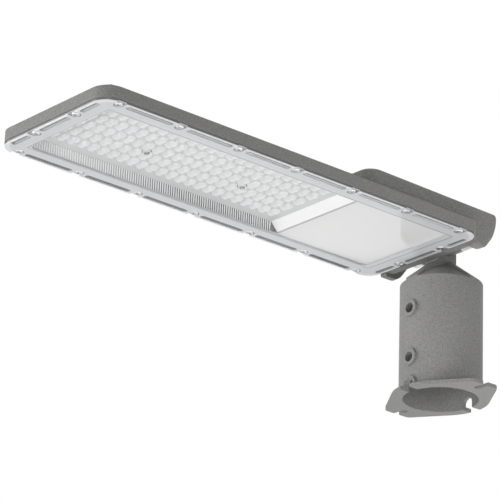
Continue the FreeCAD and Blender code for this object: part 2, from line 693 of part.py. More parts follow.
def housing():
    """Cast tray with the driver bay on its back and the fork for the tongue."""
    own = body("housing")
    plan = sketch(own, "tray", "XY_Plane", parting_z)
    round_box(plan, tray_x0, tray_x1, -tray_half, tray_half, S.tray_corner)
    tray = extrude(own, "tray_pad", plan, S.tray_high)
    brim = edges(own.Shape, lambda ends, mid, e: all(near(p.z, back_z) for p in ends))
    chamfer(own, "tray_slopes", tray, brim, S.tray_high - S.tray_side, S.tray_slope)

    # driver bay and cheeks, drawn from the side
    side = sketch(own, "bay", "XZ_Plane")
    polygon(side, [
        (tray_x0, pivot_z - S.cheek_drop),
        (tray_x0, parting_z + S.tray_side),
        (bay_x1, parting_z + S.tray_side),
        (bay_x1, bay_top + S.bay_climb),
        (-S.cheek_end, bay_top),
        (-S.cheek_bend, pivot_z - S.cheek_bend_drop),
        (S.cheek_foot, pivot_z - S.cheek_drop),
    ])
    bay = extrude(own, "bay_pad", side, 2 * bay_half, middle=True)
    front = edges(own.Shape, lambda ends, mid, e: near(mid.x, bay_x1)
                  and near(abs(mid.y), bay_half) and mid.z > back_z.number)
    rounded = fillet(own, "bay_front_corners", bay, front, S.bay_corner)
    foot = edges(own.Shape, lambda ends, mid, e: near(mid.y, 0)
                 and near(mid.x, S.cheek_foot) and near(mid.z, pivot_z - S.cheek_drop))
    rounded = fillet(own, "cheek_foot_corner", rounded, foot, S.cheek_foot_round)
    bend = edges(own.Shape, lambda ends, mid, e: near(mid.y, 0)
                 and near(mid.x, -S.cheek_bend) and near(mid.z, pivot_z - S.cheek_bend_drop))
    rounded = fillet(own, "cheek_bend_corner", rounded, bend, S.cheek_bend_round)
    top = edges(own.Shape, lambda ends, mid, e: near(mid.y, 0)
                and near(mid.x, -S.cheek_end) and near(mid.z, bay_top))
    rounded = fillet(own, "cheek_top_corner", rounded, top, S.cheek_top_round)
    climb = S.bay_climb.number / (bay_x1.number + S.cheek_end.number)

    def on_roof(p):
        return abs(p.z - bay_top.number - climb * (p.x + S.cheek_end.number)) < 1e-3

    rim = edges(own.Shape, lambda ends, mid, e: on_roof(mid) and all(on_roof(p) for p in ends)
                and mid.x > 0 and abs(mid.y) < bay_half.number + 1e-3)
    fillet(own, "bay_top_edges", rounded, rim, S.bay_edge)

    # cooling fins
    fin_y = (S.fin_count - 1) * S.fin_pitch / -2
    fin = sketch(own, "fin", "XY_Plane", back_z)
    box(fin, bay_x1 + S.fin_start, tray_x1 - S.fin_end, fin_y - S.fin_wide / 2,
        fin_y + S.fin_wide / 2)
    one = extrude(own, "fin_pad", fin, S.fin_high)
    repeat(own, "fins", [one], "Y_Axis", S.fin_pitch, S.fin_count)

    # fork: gap between the cheeks, then the two lugs and their slot
    gap = sketch(own, "fork", "XY_Plane", pivot_z - S.cheek_drop - 1)
    box(gap, -S.cheek_end - 5, fork_x, -S.fork_half, S.fork_half)
    cut(own, "fork_cut", gap, None)
    under = sketch(own, "fork_sill", "XY_Plane", parting_z - S.end_wall_drop)
    box(under, fork_x - 1, tray_x0, -S.fork_half, S.fork_half)
    cut(own, "fork_sill_cut", under, S.cheek_drop, up=False)
    lug = sketch(own, "lug", "XZ_Plane")
    outline(lug, [
        ((0, pivot_z - knuckle_r), None),
        ((fork_x + 0.5, pivot_z - knuckle_r), None),
        ((fork_x + 0.5, pivot_z + knuckle_r), None),
        ((0, pivot_z + knuckle_r), (0, pivot_z)),
    ])
    extrude(own, "lug_pad", lug, 2 * lug_out, middle=True)
    for side, name in ((-1, "near"), (1, "far")):
        pad = sketch(own, name + "_cheek_pad", "XZ_Plane", side * bay_half)
        circle(pad, 0, pivot_z, S.cheek_pad_dia)
        extrude(own, name + "_cheek_pad_pad", pad, S.cheek_pad_high, up=side > 0)
    slot = sketch(own, "lug_slot", "XZ_Plane")
    box(slot, -knuckle_r - 1, fork_x, pivot_z - knuckle_r - 1, pivot_z + knuckle_r + 1)
    cut(own, "lug_slot_cut", slot, 2 * lug_in, middle=True)
    eye = sketch(own, "lug_eye", "XZ_Plane")
    circle(eye, 0, pivot_z, S.bolt_dia + 2 * S.bolt_play)
    cut(own, "lug_eye_cut", eye, 2 * lug_out + 1, middle=True)

    # cavities over the lamps and in the bay
    cavity = sketch(own, "lamp_cavity", "XY_Plane", parting_z)
    round_box(cavity, cavity_x0, cavity_x1, -cavity_half, cavity_half, S.cavity_corner)
    cut(own, "lamp_cavity_cut", cavity, S.tray_high - S.back_plate)
    deep = sketch(own, "bay_cavity", "XY_Plane", parting_z)
    round_box(deep, cavity_x0, bay_x1 - S.bay_wall, -(bay_half - S.bay_wall),
              bay_half - S.bay_wall, S.cavity_corner)
    cut(own, "bay_cavity_cut", deep, bay_ceiling - parting_z)

    # posts that hold the shield down on the cover
    posts = sketch(own, "posts", "XY_Plane", shield_top)
    for x in (shield_x0 + S.post_in, shield_x1 - S.post_in):
        for side_of in (-1, 1):
            circle(posts, x, side_of * (shield_half - S.post_in), S.post_dia)
    extrude(own, "posts_pad", posts, bay_ceiling - shield_top + S.bay_roof / 2)

    # seal groove and screw holes in the rim
    groove = sketch(own, "seal_groove", "XY_Plane", parting_z)
    for inset in (S.seal_inset - S.seal_wide / 2, S.seal_inset + S.seal_wide / 2):
        round_box(groove, cover_x0 + inset, cover_x1 - inset, -cover_half + inset,
                  cover_half - inset, S.cover_corner - S.screw_inset)
    cut(own, "seal_groove_cut", groove, S.seal_deep)
    hole_dia = S.screw_dia + 2 * S.screw_play
    hole_deep = S.screw_long + S.seat_deep - S.cover_thick + 0.5
    holes = sketch(own, "side_screw_holes", "XY_Plane", parting_z)
    for side_of in (-1, 1):
        octagon(holes, screw_x0, side_of * screw_y, hole_dia)
    pair = cut(own, "side_screw_holes_cut", holes, hole_deep)
    repeat(own, "side_screw_hole_rows", [pair], "X_Axis", S.screw_step, S.screw_count)
    ends = sketch(own, "end_screw_holes", "XY_Plane", parting_z)
    for x in (cover_x0 + S.screw_inset, cover_x1 - S.screw_inset):
        for side_of in (-1, 1):
            octagon(ends, x, side_of * S.end_screw_half, hole_dia)
    cut(own, "end_screw_holes_cut", ends, hole_deep)

    # holes for the board, driver and earth screws
    small = sketch(own, "board_screw_holes", "XY_Plane", lamp_ceiling)
    for x in board_screw_xs():
        octagon(small, x, board_screw_y, S.board_screw_dia + 2 * S.screw_play)
    cut(own, "board_screw_holes_cut", small, S.board_screw_long - S.board_thick + 0.3)
    inner = sketch(own, "bay_screw_holes", "XY_Plane", bay_ceiling)
    for x, y in bay_screw_places():
        octagon(inner, x, y, S.board_screw_dia + 2 * S.screw_play)
    cut(own, "bay_screw_holes_cut", inner, S.bay_roof - 0.6)

    entry = sketch(own, "gland_hole", "YZ_Plane", fork_x)
    circle(entry, S.gland_side, gland_z, S.gland_dia + 2 * S.screw_play)
    cut(own, "gland_hole_cut", entry, S.gland_thread_in + 0.5)
    through = sketch(own, "gland_cable_hole", "YZ_Plane", fork_x)
    circle(through, S.gland_side, gland_z, S.gland_bore + 1)
    cut(own, "gland_cable_hole_cut", through, cavity_x0 - fork_x + 1)
    return own


def board_screw_xs():
    return (board_screw_x, board_screw_x - S.board_screw_cols * S.lens_step)


def bay_screw_places():
    """Two driver screws and the earth screw."""
    left = cavity_x0 + S.driver_start
    return (
        (left - S.driver_ear / 2, S.driver_side),
        (left + S.driver_long + S.driver_ear / 2, S.driver_side),
        (cavity_x0 + S.earth_start, S.earth_side),
    )


def cover():
    """Moulded clear cover: flange, window, fluted lens basin and the lenses."""
    own = body("clear_cover")
    plan = sketch(own, "flange", "XY_Plane", face_z)
    round_box(plan, cover_x0, cover_x1, -cover_half, cover_half, S.cover_corner)
    extrude(own, "flange_pad", plan, S.cover_thick)
    raised = sketch(own, "panel_back", "XY_Plane", parting_z)
    round_box(raised, panel_x0 - S.panel_thick, panel_x1 + S.panel_thick,
              -panel_half - S.panel_thick, panel_half + S.panel_thick,
              S.panel_corner + S.panel_thick)
    extrude(own, "panel_back_pad", raised, panel_top - parting_z)
    outer = sketch(own, "basin_back", "XZ_Plane")
    shift = S.basin_wall * 1.35
    polygon(outer, [
        (slope_foot - shift, parting_z),
        (slope_foot - shift + S.basin_run * (panel_top - parting_z) / (floor_z - panel_z), panel_top),
        (slope_top - shift + S.basin_wall, floor_top),
        (basin_x1 + S.basin_wall, floor_top),
        (basin_x1 + S.basin_wall, parting_z),
    ])
    extrude(own, "basin_back_pad", outer, 2 * (basin_half + S.basin_wall), middle=True)
    window = sketch(own, "panel", "XY_Plane", face_z)
    round_box(window, panel_x0, panel_x1, -panel_half, panel_half, S.panel_corner)
    cut(own, "panel_cut", window, S.panel_recess)
    basin = sketch(own, "basin", "XZ_Plane")
    polygon(basin, [
        (slope_foot, panel_z), (slope_top, floor_z), (basin_x1, floor_z), (basin_x1, panel_z),
    ])
    cut(own, "basin_cut", basin, 2 * basin_half, middle=True)

    # long pockets in the flange, between the screws
    pocket_in = S.pocket_lip
    pocket_r = S.pocket_wide / 2
    row_y = cover_half - pocket_in - pocket_r
    start = screw_x0 + S.pocket_clear + pocket_r
    end = screw_x0 + S.screw_step - S.pocket_clear - pocket_r
    pockets = sketch(own, "side_pockets", "XY_Plane", face_z)
    for side in (-1, 1):
        slot_along(pockets, start, end, side * row_y, pocket_r)
    pair = cut(own, "side_pockets_cut", pockets, S.pocket_deep)
    repeat(own, "side_pocket_rows", [pair], "X_Axis", S.screw_step, S.screw_count - 1)
    across = sketch(own, "end_pockets", "XY_Plane", face_z)
    reach = S.end_screw_half - S.pocket_clear - pocket_r
    outer_end = cover_half - S.cover_corner - pocket_r
    for x in (cover_x0 + pocket_in + pocket_r, cover_x1 - pocket_in - pocket_r):
        slot_across(across, x, -reach, reach, pocket_r)
        for side in (-1, 1):
            low = S.end_screw_half + S.pocket_clear + pocket_r
            ends = (low, outer_end) if side > 0 else (-outer_end, -low)
            slot_across(across, x, ends[0], ends[1], pocket_r)
    cut(own, "end_pockets_cut", across, S.pocket_deep)

    # screw seats, open to the edge, and their holes
    seat_r = S.seat_wide / 2
    seats = sketch(own, "side_seats", "XY_Plane", face_z)
    for side in (-1, 1):
        arch = [(screw_x0 + a, side * (screw_y - b)) for a, b in seat_arch(seat_r)]
        polygon(seats, arch[::side] + [(screw_x0 - side * seat_r, side * (cover_half + 1)),
                                       (screw_x0 + side * seat_r, side * (cover_half + 1))])
    pair = cut(own, "side_seats_cut", seats, S.seat_deep)
    hole_dia = S.screw_dia + 2 * S.screw_play
    holes = sketch(own, "side_holes", "XY_Plane", face_z)
    for side in (-1, 1):
        octagon(holes, screw_x0, side * screw_y, hole_dia)
    hole_pair = cut(own, "side_holes_cut", holes, S.cover_thick)
    repeat(own, "side_seat_rows", [pair, hole_pair], "X_Axis", S.screw_step, S.screw_count)
    end_seats = sketch(own, "end_seats", "XY_Plane", face_z)
    for end, x in ((-1, cover_x0 + S.screw_inset), (1, cover_x1 - S.screw_inset)):
        for side in (-1, 1):
            y = side * S.end_screw_half
            edge = x + end * (S.screw_inset + 1)
            arch = [(x - end * b, y - end * a) for a, b in seat_arch(seat_r)]
            polygon(end_seats, arch + [(edge, y + end * seat_r), (edge, y - end * seat_r)])
    cut(own, "end_seats_cut", end_seats, S.seat_deep)
    end_holes = sketch(own, "end_holes", "XY_Plane", face_z)
    for x in (cover_x0 + S.screw_inset, cover_x1 - S.screw_inset):
        for side in (-1, 1):
            octagon(end_holes, x, side * S.end_screw_half, hole_dia)
    cut(own, "end_holes_cut", end_holes, S.cover_thick)

    # lenses: ridges with a dip along their middle, one for each row, cut into columns
    top_drop = (S.lens_wide - S.lens_top_wide) / 2
    lens_z = floor_z - S.lens_high
    rows = sketch(own, "lens_rows", "YZ_Plane", lens_x0 - S.lens_wide / 2)
    half_y, half_top = S.lens_long / 2, S.lens_top_long / 2
    for row in range(int(S.lens_rows.number)):
        y = lens_y0 + row * S.lens_row_step
        polygon(rows, [
            (y + half_y, floor_z), (y + half_top, lens_z), (y, lens_z + S.lens_waist),
            (y - half_top, lens_z), (y - half_y, floor_z),
        ])
    extrude(own, "lens_rows_pad", rows, (S.lens_cols - 1) * S.lens_step + S.lens_wide)
    gaps = sketch(own, "lens_gaps", "XZ_Plane")
    for column in range(int(S.lens_cols.number) + 1):
        x = lens_x0 + (column - 0.5) * S.lens_step
        foot = (S.lens_step - S.lens_wide) / 2
        polygon(gaps, [
            (x - foot, floor_z), (x - foot - top_drop, lens_z), (x + foot + top_drop, lens_z),
            (x + foot, floor_z),
        ])
    cut(own, "lens_gaps_cut", gaps, 2 * basin_half, middle=True)

    # flutes on the side walls and on the end wall of the basin
    half_w = S.flute_wide / 2
    side_count = whole((basin_x1 - slope_top - S.flute_step) / S.flute_step)
    flutes = sketch(own, "side_flutes", "XY_Plane", panel_z)
    x = slope_top + S.flute_step
    for side in (-1, 1):
        wall = side * basin_half
        ridge = [(x - half_w, wall), (x + half_w, wall), (x, wall + side * S.flute_deep)]
        polygon(flutes, ridge[::side])
    side_flute = cut(own, "side_flutes_cut", flutes, floor_z - panel_z)
    end_count = whole((2 * basin_half - S.flute_step) / S.flute_step)
    start_y = -(end_count - 1) * S.flute_step / 2
    flute = sketch(own, "end_flute", "XY_Plane", panel_z)
    polygon(flute, [(basin_x1, start_y - half_w), (basin_x1 + S.flute_deep, start_y),
                    (basin_x1, start_y + half_w)])
    end_flute = cut(own, "end_flute_cut", flute, floor_z - panel_z)
    repeat(own, "end_flute_row", [end_flute], "Y_Axis", S.flute_step, end_count)
    repeat(own, "side_flute_rows", [side_flute], "X_Axis", S.flute_step, side_count)
    return own


def seat_arch(r):
    """The inner end of a screw seat, from its right to its left, with five sides."""
    corner = r * math.tan(math.pi / 8)
    return [(r, size(0)), (r, corner), (corner, r), (-corner, r), (-r, corner), (-r, size(0))]


def slot_ring(start, end, r):
    """Corners of a slot that ends in half octagons, along its first axis."""
    corner = r * math.tan(math.pi / 8)
    ring = [(end + corner, -r), (end + r, -corner), (end + r, corner), (end + corner, r)]
    return ring + [(start - corner, r), (start - r, corner), (start - r, -corner),
                   (start - corner, -r)]


def slot_along(sk, start, end, y, r):
    polygon(sk, [(a, y + b) for a, b in slot_ring(start, end, r)])


def slot_across(sk, x, start, end, r):
    polygon(sk, [(x - b, a) for a, b in slot_ring(start, end, r)])


def seal():
    own = body("cover_gasket")
    place(own, z=parting_z)
    ring = sketch(own, "seal", "XY_Plane")
    half = S.seal_wide / 2 - S.seal_play
    for inset in (S.seal_inset - half, S.seal_inset + half):
        round_box(ring, cover_x0 + inset, cover_x1 - inset, -cover_half + inset,
                  cover_half - inset, S.cover_corner - S.screw_inset)
    extrude(own, "seal_pad", ring, S.seal_deep)


def cover_screws():
    own = body("cover_screws", several=True)
    place(own, z=seat_z)
    shanks = sketch(own, "side_shanks", "XY_Plane")
    heads = sketch(own, "side_heads", "XY_Plane")
    for side in (-1, 1):
        octagon(shanks, screw_x0, side * screw_y, S.screw_dia)
        octagon(heads, screw_x0, side * screw_y, S.screw_head_dia)
    a = extrude(own, "side_heads_pad", heads, S.screw_head_high, up=False)
    b = extrude(own, "side_shanks_pad", shanks, S.screw_long)
    repeat(own, "side_rows", [a, b], "X_Axis", S.screw_step, S.screw_count)
    shanks = sketch(own, "end_shanks", "XY_Plane")
    heads = sketch(own, "end_heads", "XY_Plane")
    for x in (cover_x0 + S.screw_inset, cover_x1 - S.screw_inset):
        for side in (-1, 1):
            octagon(shanks, x, side * S.end_screw_half, S.screw_dia)
            octagon(heads, x, side * S.end_screw_half, S.screw_head_dia)
    extrude(own, "end_heads_pad", heads, S.screw_head_high, up=False)
    extrude(own, "end_shanks_pad", shanks, S.screw_long)


def screw_set(name, places, z, head_dia, head_high, dia, long):
    """Pan head screws that point up from the plane z."""
    own = body(name, several=True)
    place(own, z=z)
    heads = sketch(own, name + "_heads", "XY_Plane")
    shanks = sketch(own, name + "_shanks", "XY_Plane")
    for x, y in places:
        octagon(heads, x, y, head_dia)
        octagon(shanks, x, y, dia)
    extrude(own, name + "_heads_pad", heads, head_high, up=False)
    extrude(own, name + "_shanks_pad", shanks, long)


def lamp_board():
    own = body("led_board")
    place(own, z=board_z)
    plate = sketch(own, "board", "XY_Plane")
    box(plate, lens_x0 - S.board_start, lens_x1 + S.board_end, -S.board_wide / 2, S.board_wide / 2)
    extrude(own, "board_pad", plate, S.board_thick)
    holes = sketch(own, "board_holes", "XY_Plane")
    for x in board_screw_xs():
        octagon(holes, x, board_screw_y, S.board_screw_dia + 2 * S.screw_play)
    cut(own, "board_holes_cut", holes, S.board_thick)

    own = body("led_chips", several=True)
    place(own, z=board_z)
    chip = sketch(own, "chip", "XY_Plane")
    half = S.chip_wide / 2
    for row in range(int(S.lens_rows.number)):
        y = lens_y0 + row * S.lens_row_step
        box(chip, lens_x0 - half, lens_x0 + half, y - half, y + half)
    one = extrude(own, "chip_pad", chip, S.chip_high, up=False)
    repeat(own, "chips", [one], "X_Axis", S.lens_step, S.lens_cols)

    own = body("board_connector")
    place(own, lens_x0 - S.board_start, 0, board_z)
    plug = sketch(own, "plug", "XY_Plane")
    box(plug, 0, S.plug_long, -S.plug_wide / 2, S.plug_wide / 2)
    extrude(own, "plug_pad", plug, S.plug_high, up=False)
    mouths = sketch(own, "plug_mouths", "YZ_Plane")
    for side in (-1, 1):
        middle = side * S.plug_wide / 4
        box(mouths, middle - S.plug_wide / 6, middle + S.plug_wide / 6,
            -S.plug_high * 0.75, -S.plug_high * 0.25)
    cut(own, "plug_mouths_cut", mouths, S.plug_long / 2)

    screw_set("board_screws", [(x, board_screw_y) for x in board_screw_xs()], board_z,
              S.board_screw_head, S.board_screw_high, S.board_screw_dia, S.board_screw_long)


def bay_parts():
    # white shield behind the window: a shallow tray that stands on the cover
    own = body("bay_shield")
    place(own, z=panel_top)
    wall = sketch(own, "shield", "XY_Plane")
    box(wall, shield_x0, shield_x1, -shield_half, shield_half)
    extrude(own, "shield_pad", wall, shield_top - panel_top)
    inside = sketch(own, "shield_inside", "XY_Plane")
    box(inside, shield_x0 + S.shield_skirt, shield_x1 - S.shield_skirt,
        -shield_half + S.shield_skirt, shield_half - S.shield_skirt)
    cut(own, "shield_inside_cut", inside, shield_z - panel_top)

    own = body("led_driver")
    left = cavity_x0 + S.driver_start
    place(own, left, S.driver_side, bay_ceiling)
    case = sketch(own, "case", "XY_Plane")
    half = S.driver_wide / 2
    box(case, 0, S.driver_long, -half, half)
    pad = extrude(own, "case_pad", case, S.driver_high, up=False)
    lower = edges(own.Shape, lambda ends, mid, e: near(mid.z, bay_ceiling - S.driver_high))
    fillet(own, "case_edges", pad, lower, S.driver_ear_thick)
    ears = sketch(own, "ears", "XY_Plane")
    box(ears, -S.driver_ear, S.driver_long + S.driver_ear, -S.driver_ear, S.driver_ear)
    extrude(own, "ears_pad", ears, S.driver_ear_thick, up=False)
    holes = sketch(own, "ear_holes", "XY_Plane")
    for x in (-S.driver_ear / 2, S.driver_long + S.driver_ear / 2):
        octagon(holes, x, 0, S.board_screw_dia + 2 * S.screw_play)
    cut(own, "ear_holes_cut", holes, S.driver_ear_thick, up=False)

    screws = bay_screw_places()
    screw_set("driver_screws", screws[:2], bay_ceiling - S.driver_ear_thick,
              S.board_screw_head, S.board_screw_high, S.board_screw_dia, S.board_screw_long)
    screw_set("earth_screw", screws[2:], bay_ceiling,
              S.board_screw_head, S.board_screw_high, S.board_screw_dia, S.bay_roof - 1)

    own = body("terminal_block")
    place(own, cavity_x0 + S.block_start, S.block_side, bay_ceiling)
    block = sketch(own, "block", "XY_Plane")
    box(block, 0, S.block_long, -S.block_wide / 2, S.block_wide / 2)
    extrude(own, "block_pad", block, S.block_high, up=False)
    entries = sketch(own, "block_entries", "XZ_Plane")
    for i in range(3):
        circle(entries, S.block_long * (i + 0.5) / 3, -S.block_high / 2, S.block_high / 3)
    cut(own, "block_entries_cut", entries, None, middle=True)


def gland():
    """Cable gland in the end wall, its nut and its seal, about its own axis."""
    origin = (fork_x, S.gland_side, gland_z)
    own = body("cable_gland")
    place(own, *origin)
    flange = sketch(own, "gland_hex", "YZ_Plane")
    hexagon(flange, size(0), size(0), S.gland_flats, True)
    extrude(own, "gland_hex_pad", flange, S.gland_flange, up=False)
    thread = sketch(own, "gland_thread", "YZ_Plane")
    circle(thread, 0, 0, S.gland_dia)
    extrude(own, "gland_thread_pad", thread, S.gland_thread_in)
    outer = sketch(own, "gland_outer", "YZ_Plane", -S.gland_flange)
    circle(outer, 0, 0, S.gland_dia)
    extrude(own, "gland_outer_pad", outer, S.gland_thread_out, up=False)
    bore = sketch(own, "gland_bore", "YZ_Plane")
    circle(bore, 0, 0, S.gland_bore)
    cut(own, "gland_bore_cut", bore, None, middle=True)

    nut_x = -S.gland_flange - S.gland_nut_long
    own = body("gland_nut")
    place(own, *origin)
    hexa = sketch(own, "gland_nut_hex", "YZ_Plane", nut_x)
    hexagon(hexa, size(0), size(0), S.gland_flats, True)
    extrude(own, "gland_nut_pad", hexa, S.gland_nut_long)
    inner = sketch(own, "gland_nut_thread", "YZ_Plane", -S.gland_flange)
    circle(inner, 0, 0, S.gland_dia + 2 * S.screw_play)
    cut(own, "gland_nut_thread_cut", inner, S.gland_thread_out + 1, up=False)
    hole = sketch(own, "gland_nut_hole", "YZ_Plane")
    circle(hole, 0, 0, S.gland_bore)
    cut(own, "gland_nut_hole_cut", hole, None, middle=True)

    own = body("gland_seal")
    place(own, *origin)
    ring = sketch(own, "gland_seal_ring", "YZ_Plane", -S.gland_flange - S.gland_thread_out)
    circle(ring, 0, 0, S.gland_dia)
    circle(ring, 0, 0, S.gland_bore)
    extrude(own, "gland_seal_pad", ring, 1.0, up=False)


def pivot_parts():
    """Bolt, nut and washers of the tilt joint, along Y through the pivot."""

    def ring(own, name, start, thick, dia, hole, up):
        sk = sketch(own, name, "XZ_Plane", start)
        circle(sk, 0, 0, dia)
        circle(sk, 0, 0, hole)
        extrude(own, name + "_pad", sk, thick, up=up)

    nut_side = lug_out + S.washer_thick + S.spring_washer_thick
    head_side = lug_out + S.washer_thick
    own = body("pivot_bolt")
    place(own, 0, 0, pivot_z)
    head = sketch(own, "bolt_head", "XZ_Plane", -head_side)
    hexagon(head, size(0), size(0), S.bolt_flats, False)
    extrude(own, "bolt_head_pad", head, S.bolt_head_high, up=False)
    shank = sketch(own, "bolt_shank", "XZ_Plane", -head_side)
    circle(shank, 0, 0, S.bolt_dia)
    extrude(own, "bolt_shank_pad", shank, head_side + nut_side + S.nut_high + S.bolt_end)

    own = body("pivot_nut")
    place(own, 0, 0, pivot_z)
    nut = sketch(own, "nut_hex", "XZ_Plane", nut_side)
    hexagon(nut, size(0), size(0), S.bolt_flats, False)
    circle(nut, 0, 0, S.bolt_dia + 2 * S.pivot_play)
    extrude(own, "nut_hex_pad", nut, S.nut_high)

    own = body("pivot_washers", several=True)
    place(own, 0, 0, pivot_z)
    hole = S.bolt_dia + 2 * S.bolt_play
    ring(own, "head_washer", -lug_out, S.washer_thick, S.washer_dia, hole, False)
    ring(own, "nut_washer", lug_out, S.washer_thick, S.washer_dia, hole, True)

    own = body("spring_washer")
    place(own, 0, 0, pivot_z)
    ring(own, "spring_ring", head_side, S.spring_washer_thick, S.spring_washer_dia, hole, True)


adaptor()
housing()
cover()
seal()
cover_screws()
lamp_board()
bay_parts()
gland()
pivot_parts()
doc.recompute()

for item in doc.Objects:
    if "Invalid" in item.State or "Error" in item.State:
        raise RuntimeError("%s failed: %s" % (item.Name, item.State))
for node in nodes:
    if node.Shape.isNull() or not node.Shape.isValid():
        raise RuntimeError("%s has no valid shape" % node.Label)
for node in nodes:
    node.Shape.exportStep("parts/%s.step" % node.Label)
    bound = node.Shape.BoundBox
    print("%-16s solids %3d  %8.0f mm3  x %6.1f..%6.1f  y %6.1f..%6.1f  z %6.1f..%6.1f" % (
        node.Label, len(node.Shape.Solids), node.Shape.Volume,
        bound.XMin, bound.XMax, bound.YMin, bound.YMax, bound.ZMin, bound.ZMax))
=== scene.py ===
import logging
import math
from dataclasses import dataclass, field
from enum import Enum
from typing import Sequence

import bmesh
import bpy
from mathutils import Matrix, Vector

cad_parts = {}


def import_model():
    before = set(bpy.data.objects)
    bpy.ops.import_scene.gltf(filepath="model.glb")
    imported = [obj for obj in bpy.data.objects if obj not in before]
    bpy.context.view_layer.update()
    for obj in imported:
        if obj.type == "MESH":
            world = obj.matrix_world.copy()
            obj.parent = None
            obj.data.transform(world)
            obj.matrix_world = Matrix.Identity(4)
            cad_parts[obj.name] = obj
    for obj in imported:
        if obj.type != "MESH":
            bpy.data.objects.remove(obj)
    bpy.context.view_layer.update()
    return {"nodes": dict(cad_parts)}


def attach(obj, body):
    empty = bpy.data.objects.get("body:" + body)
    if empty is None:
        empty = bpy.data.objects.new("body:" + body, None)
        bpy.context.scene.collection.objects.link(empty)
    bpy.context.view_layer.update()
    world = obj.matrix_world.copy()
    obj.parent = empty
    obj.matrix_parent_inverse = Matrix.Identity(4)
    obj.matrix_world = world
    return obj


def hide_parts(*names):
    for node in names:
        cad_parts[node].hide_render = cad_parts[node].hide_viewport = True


NodeTree, Node, Socket = bpy.types.NodeTree, bpy.types.Node, bpy.types.NodeSocket
Material, Mesh, Object = bpy.types.Material, bpy.types.Mesh, bpy.types.Object
BMesh, BMFace = bmesh.types.BMesh, bmesh.types.BMFace
BMEdge, BMVert = bmesh.types.BMEdge, bmesh.types.BMVert
Triple = tuple[float, float, float]
Pair = tuple[float, float]
Inputs = dict[str | int, object]

LOG = logging.getLogger("street_light_head")
MM = 0.001

# Vertices nearer to each other than this become one, in metres.
WELD = 0.000004
# The cover's middle, its half sizes and how far in the rim's painted highlight and shade
# reach, in mm.
COVER_MIDDLE = (209.7, 0.0)
COVER_HALF = (190.0, 64.8)
COVER_REACH = 18.0
# What the two small lamps beside the adaptor aim at, in metres.
POLE_TOP = (0.0, 0.0, 0.06)
# Sockets that share a name with others of their node, so they are found by their place.
MIX_SHARE, MIX_FIRST, MIX_SECOND, MIX_COLOUR = 0, 6, 7, 2
RANDOM_MOST, RANDOM_NUMBER = 3, 1
# A Wave texture repeats at this length, in metres, at a scale of 1.
WAVE_REPEAT = 2 * math.pi / 20.0
# Socket types of a Geometry Nodes tree by the type of the value.
SOCKETS = {int: "NodeSocketInt", float: "NodeSocketFloat", Vector: "NodeSocketVector",
           Material: "NodeSocketMaterial"}
# How far a face's normal points down, or along an axis, for the kinds of face.
FACES_DOWN = 0.9
FACES_ASIDE = 0.5
UPRIGHT = 0.2
SLOPED = (0.3, 0.95)



class Slot(Enum):
    """Material slots of the record."""

    COAT = "grey_coat"
    CLEAR = "clear"
    SEAL = "seal"
    STEEL = "steel"
    BOARD = "board"
    CHIP = "chip"
    WHITE = "white_plastic"
    BLACK = "black_plastic"
    COPPER = "copper"
    DRIVER = "driver_case"


class Axis(Enum):
    """Axes of a piece: along the head, across it and up."""

    ALONG = "X"
    ACROSS = "Y"
    UP = "Z"


class Blend(Enum):
    """Ways of blending two colours."""

    MIX = "MIX"
    DARKEN = "DARKEN"


def mm(*values: float) -> Vector:
    """Turns millimetres into a vector in metres."""
    return Vector([v * MM for v in values])


def shaded(colour: Triple, share: float) -> Triple:
    """Multiplies a colour by a share."""
    return tuple(c * share for c in colour)


# ----- node trees


class Tree:
    """A node tree, with short calls to add and join nodes."""

    def __init__(self, tree: NodeTree) -> None:
        """Keeps the tree that the calls work on."""
        self.tree = tree

    def link(self, source: Socket, target: Socket) -> None:
        """Joins two sockets."""
        self.tree.links.new(source, target)

    def fill(self, node: Node, inputs: Inputs) -> None:
        """Joins or sets a node's inputs.

        Args:
            node: the node.
            inputs: a socket to join or a value to set, by the input's name or place.
        """
        for key, value in inputs.items():
            if isinstance(value, Socket):
                self.link(value, node.inputs[key])
            else:
                node.inputs[key].default_value = value

    def node(self, kind: str, inputs: Inputs | None = None, **settings: object) -> Node:
        """Adds a node.

        Args:
            kind: the node's type name.
            inputs: what fill takes.
            settings: its properties.

        Returns:
            The new node.
        """
        made = self.tree.nodes.new(kind)
        for key, value in settings.items():
            setattr(made, key, value)
        self.fill(made, inputs or {})
        return made

    def mix(self, share: Socket, first: Socket, second: Socket) -> Socket:
        """Mixes two shaders.

        Args:
            share: how much of the second.
            first: a shader.
            second: another shader.

        Returns:
            The mixed shader.
        """
        made = self.node("ShaderNodeMixShader", {"Fac": share, 1: first, 2: second})
        return made.outputs["Shader"]

    def white_rays(self) -> Socket:
        """Finds the rays that see a white background.

        Returns:
            1 for camera, transmission and glossy rays, and 0 for the others.
        """
        path = self.node("ShaderNodeLightPath")
        seen = path.outputs["Is Camera Ray"]
        for label in ("Is Transmission Ray", "Is Glossy Ray"):
            seen = self.node("ShaderNodeMath", {0: seen, 1: path.outputs[label]},
                             operation="MAXIMUM").outputs["Value"]
        return seen


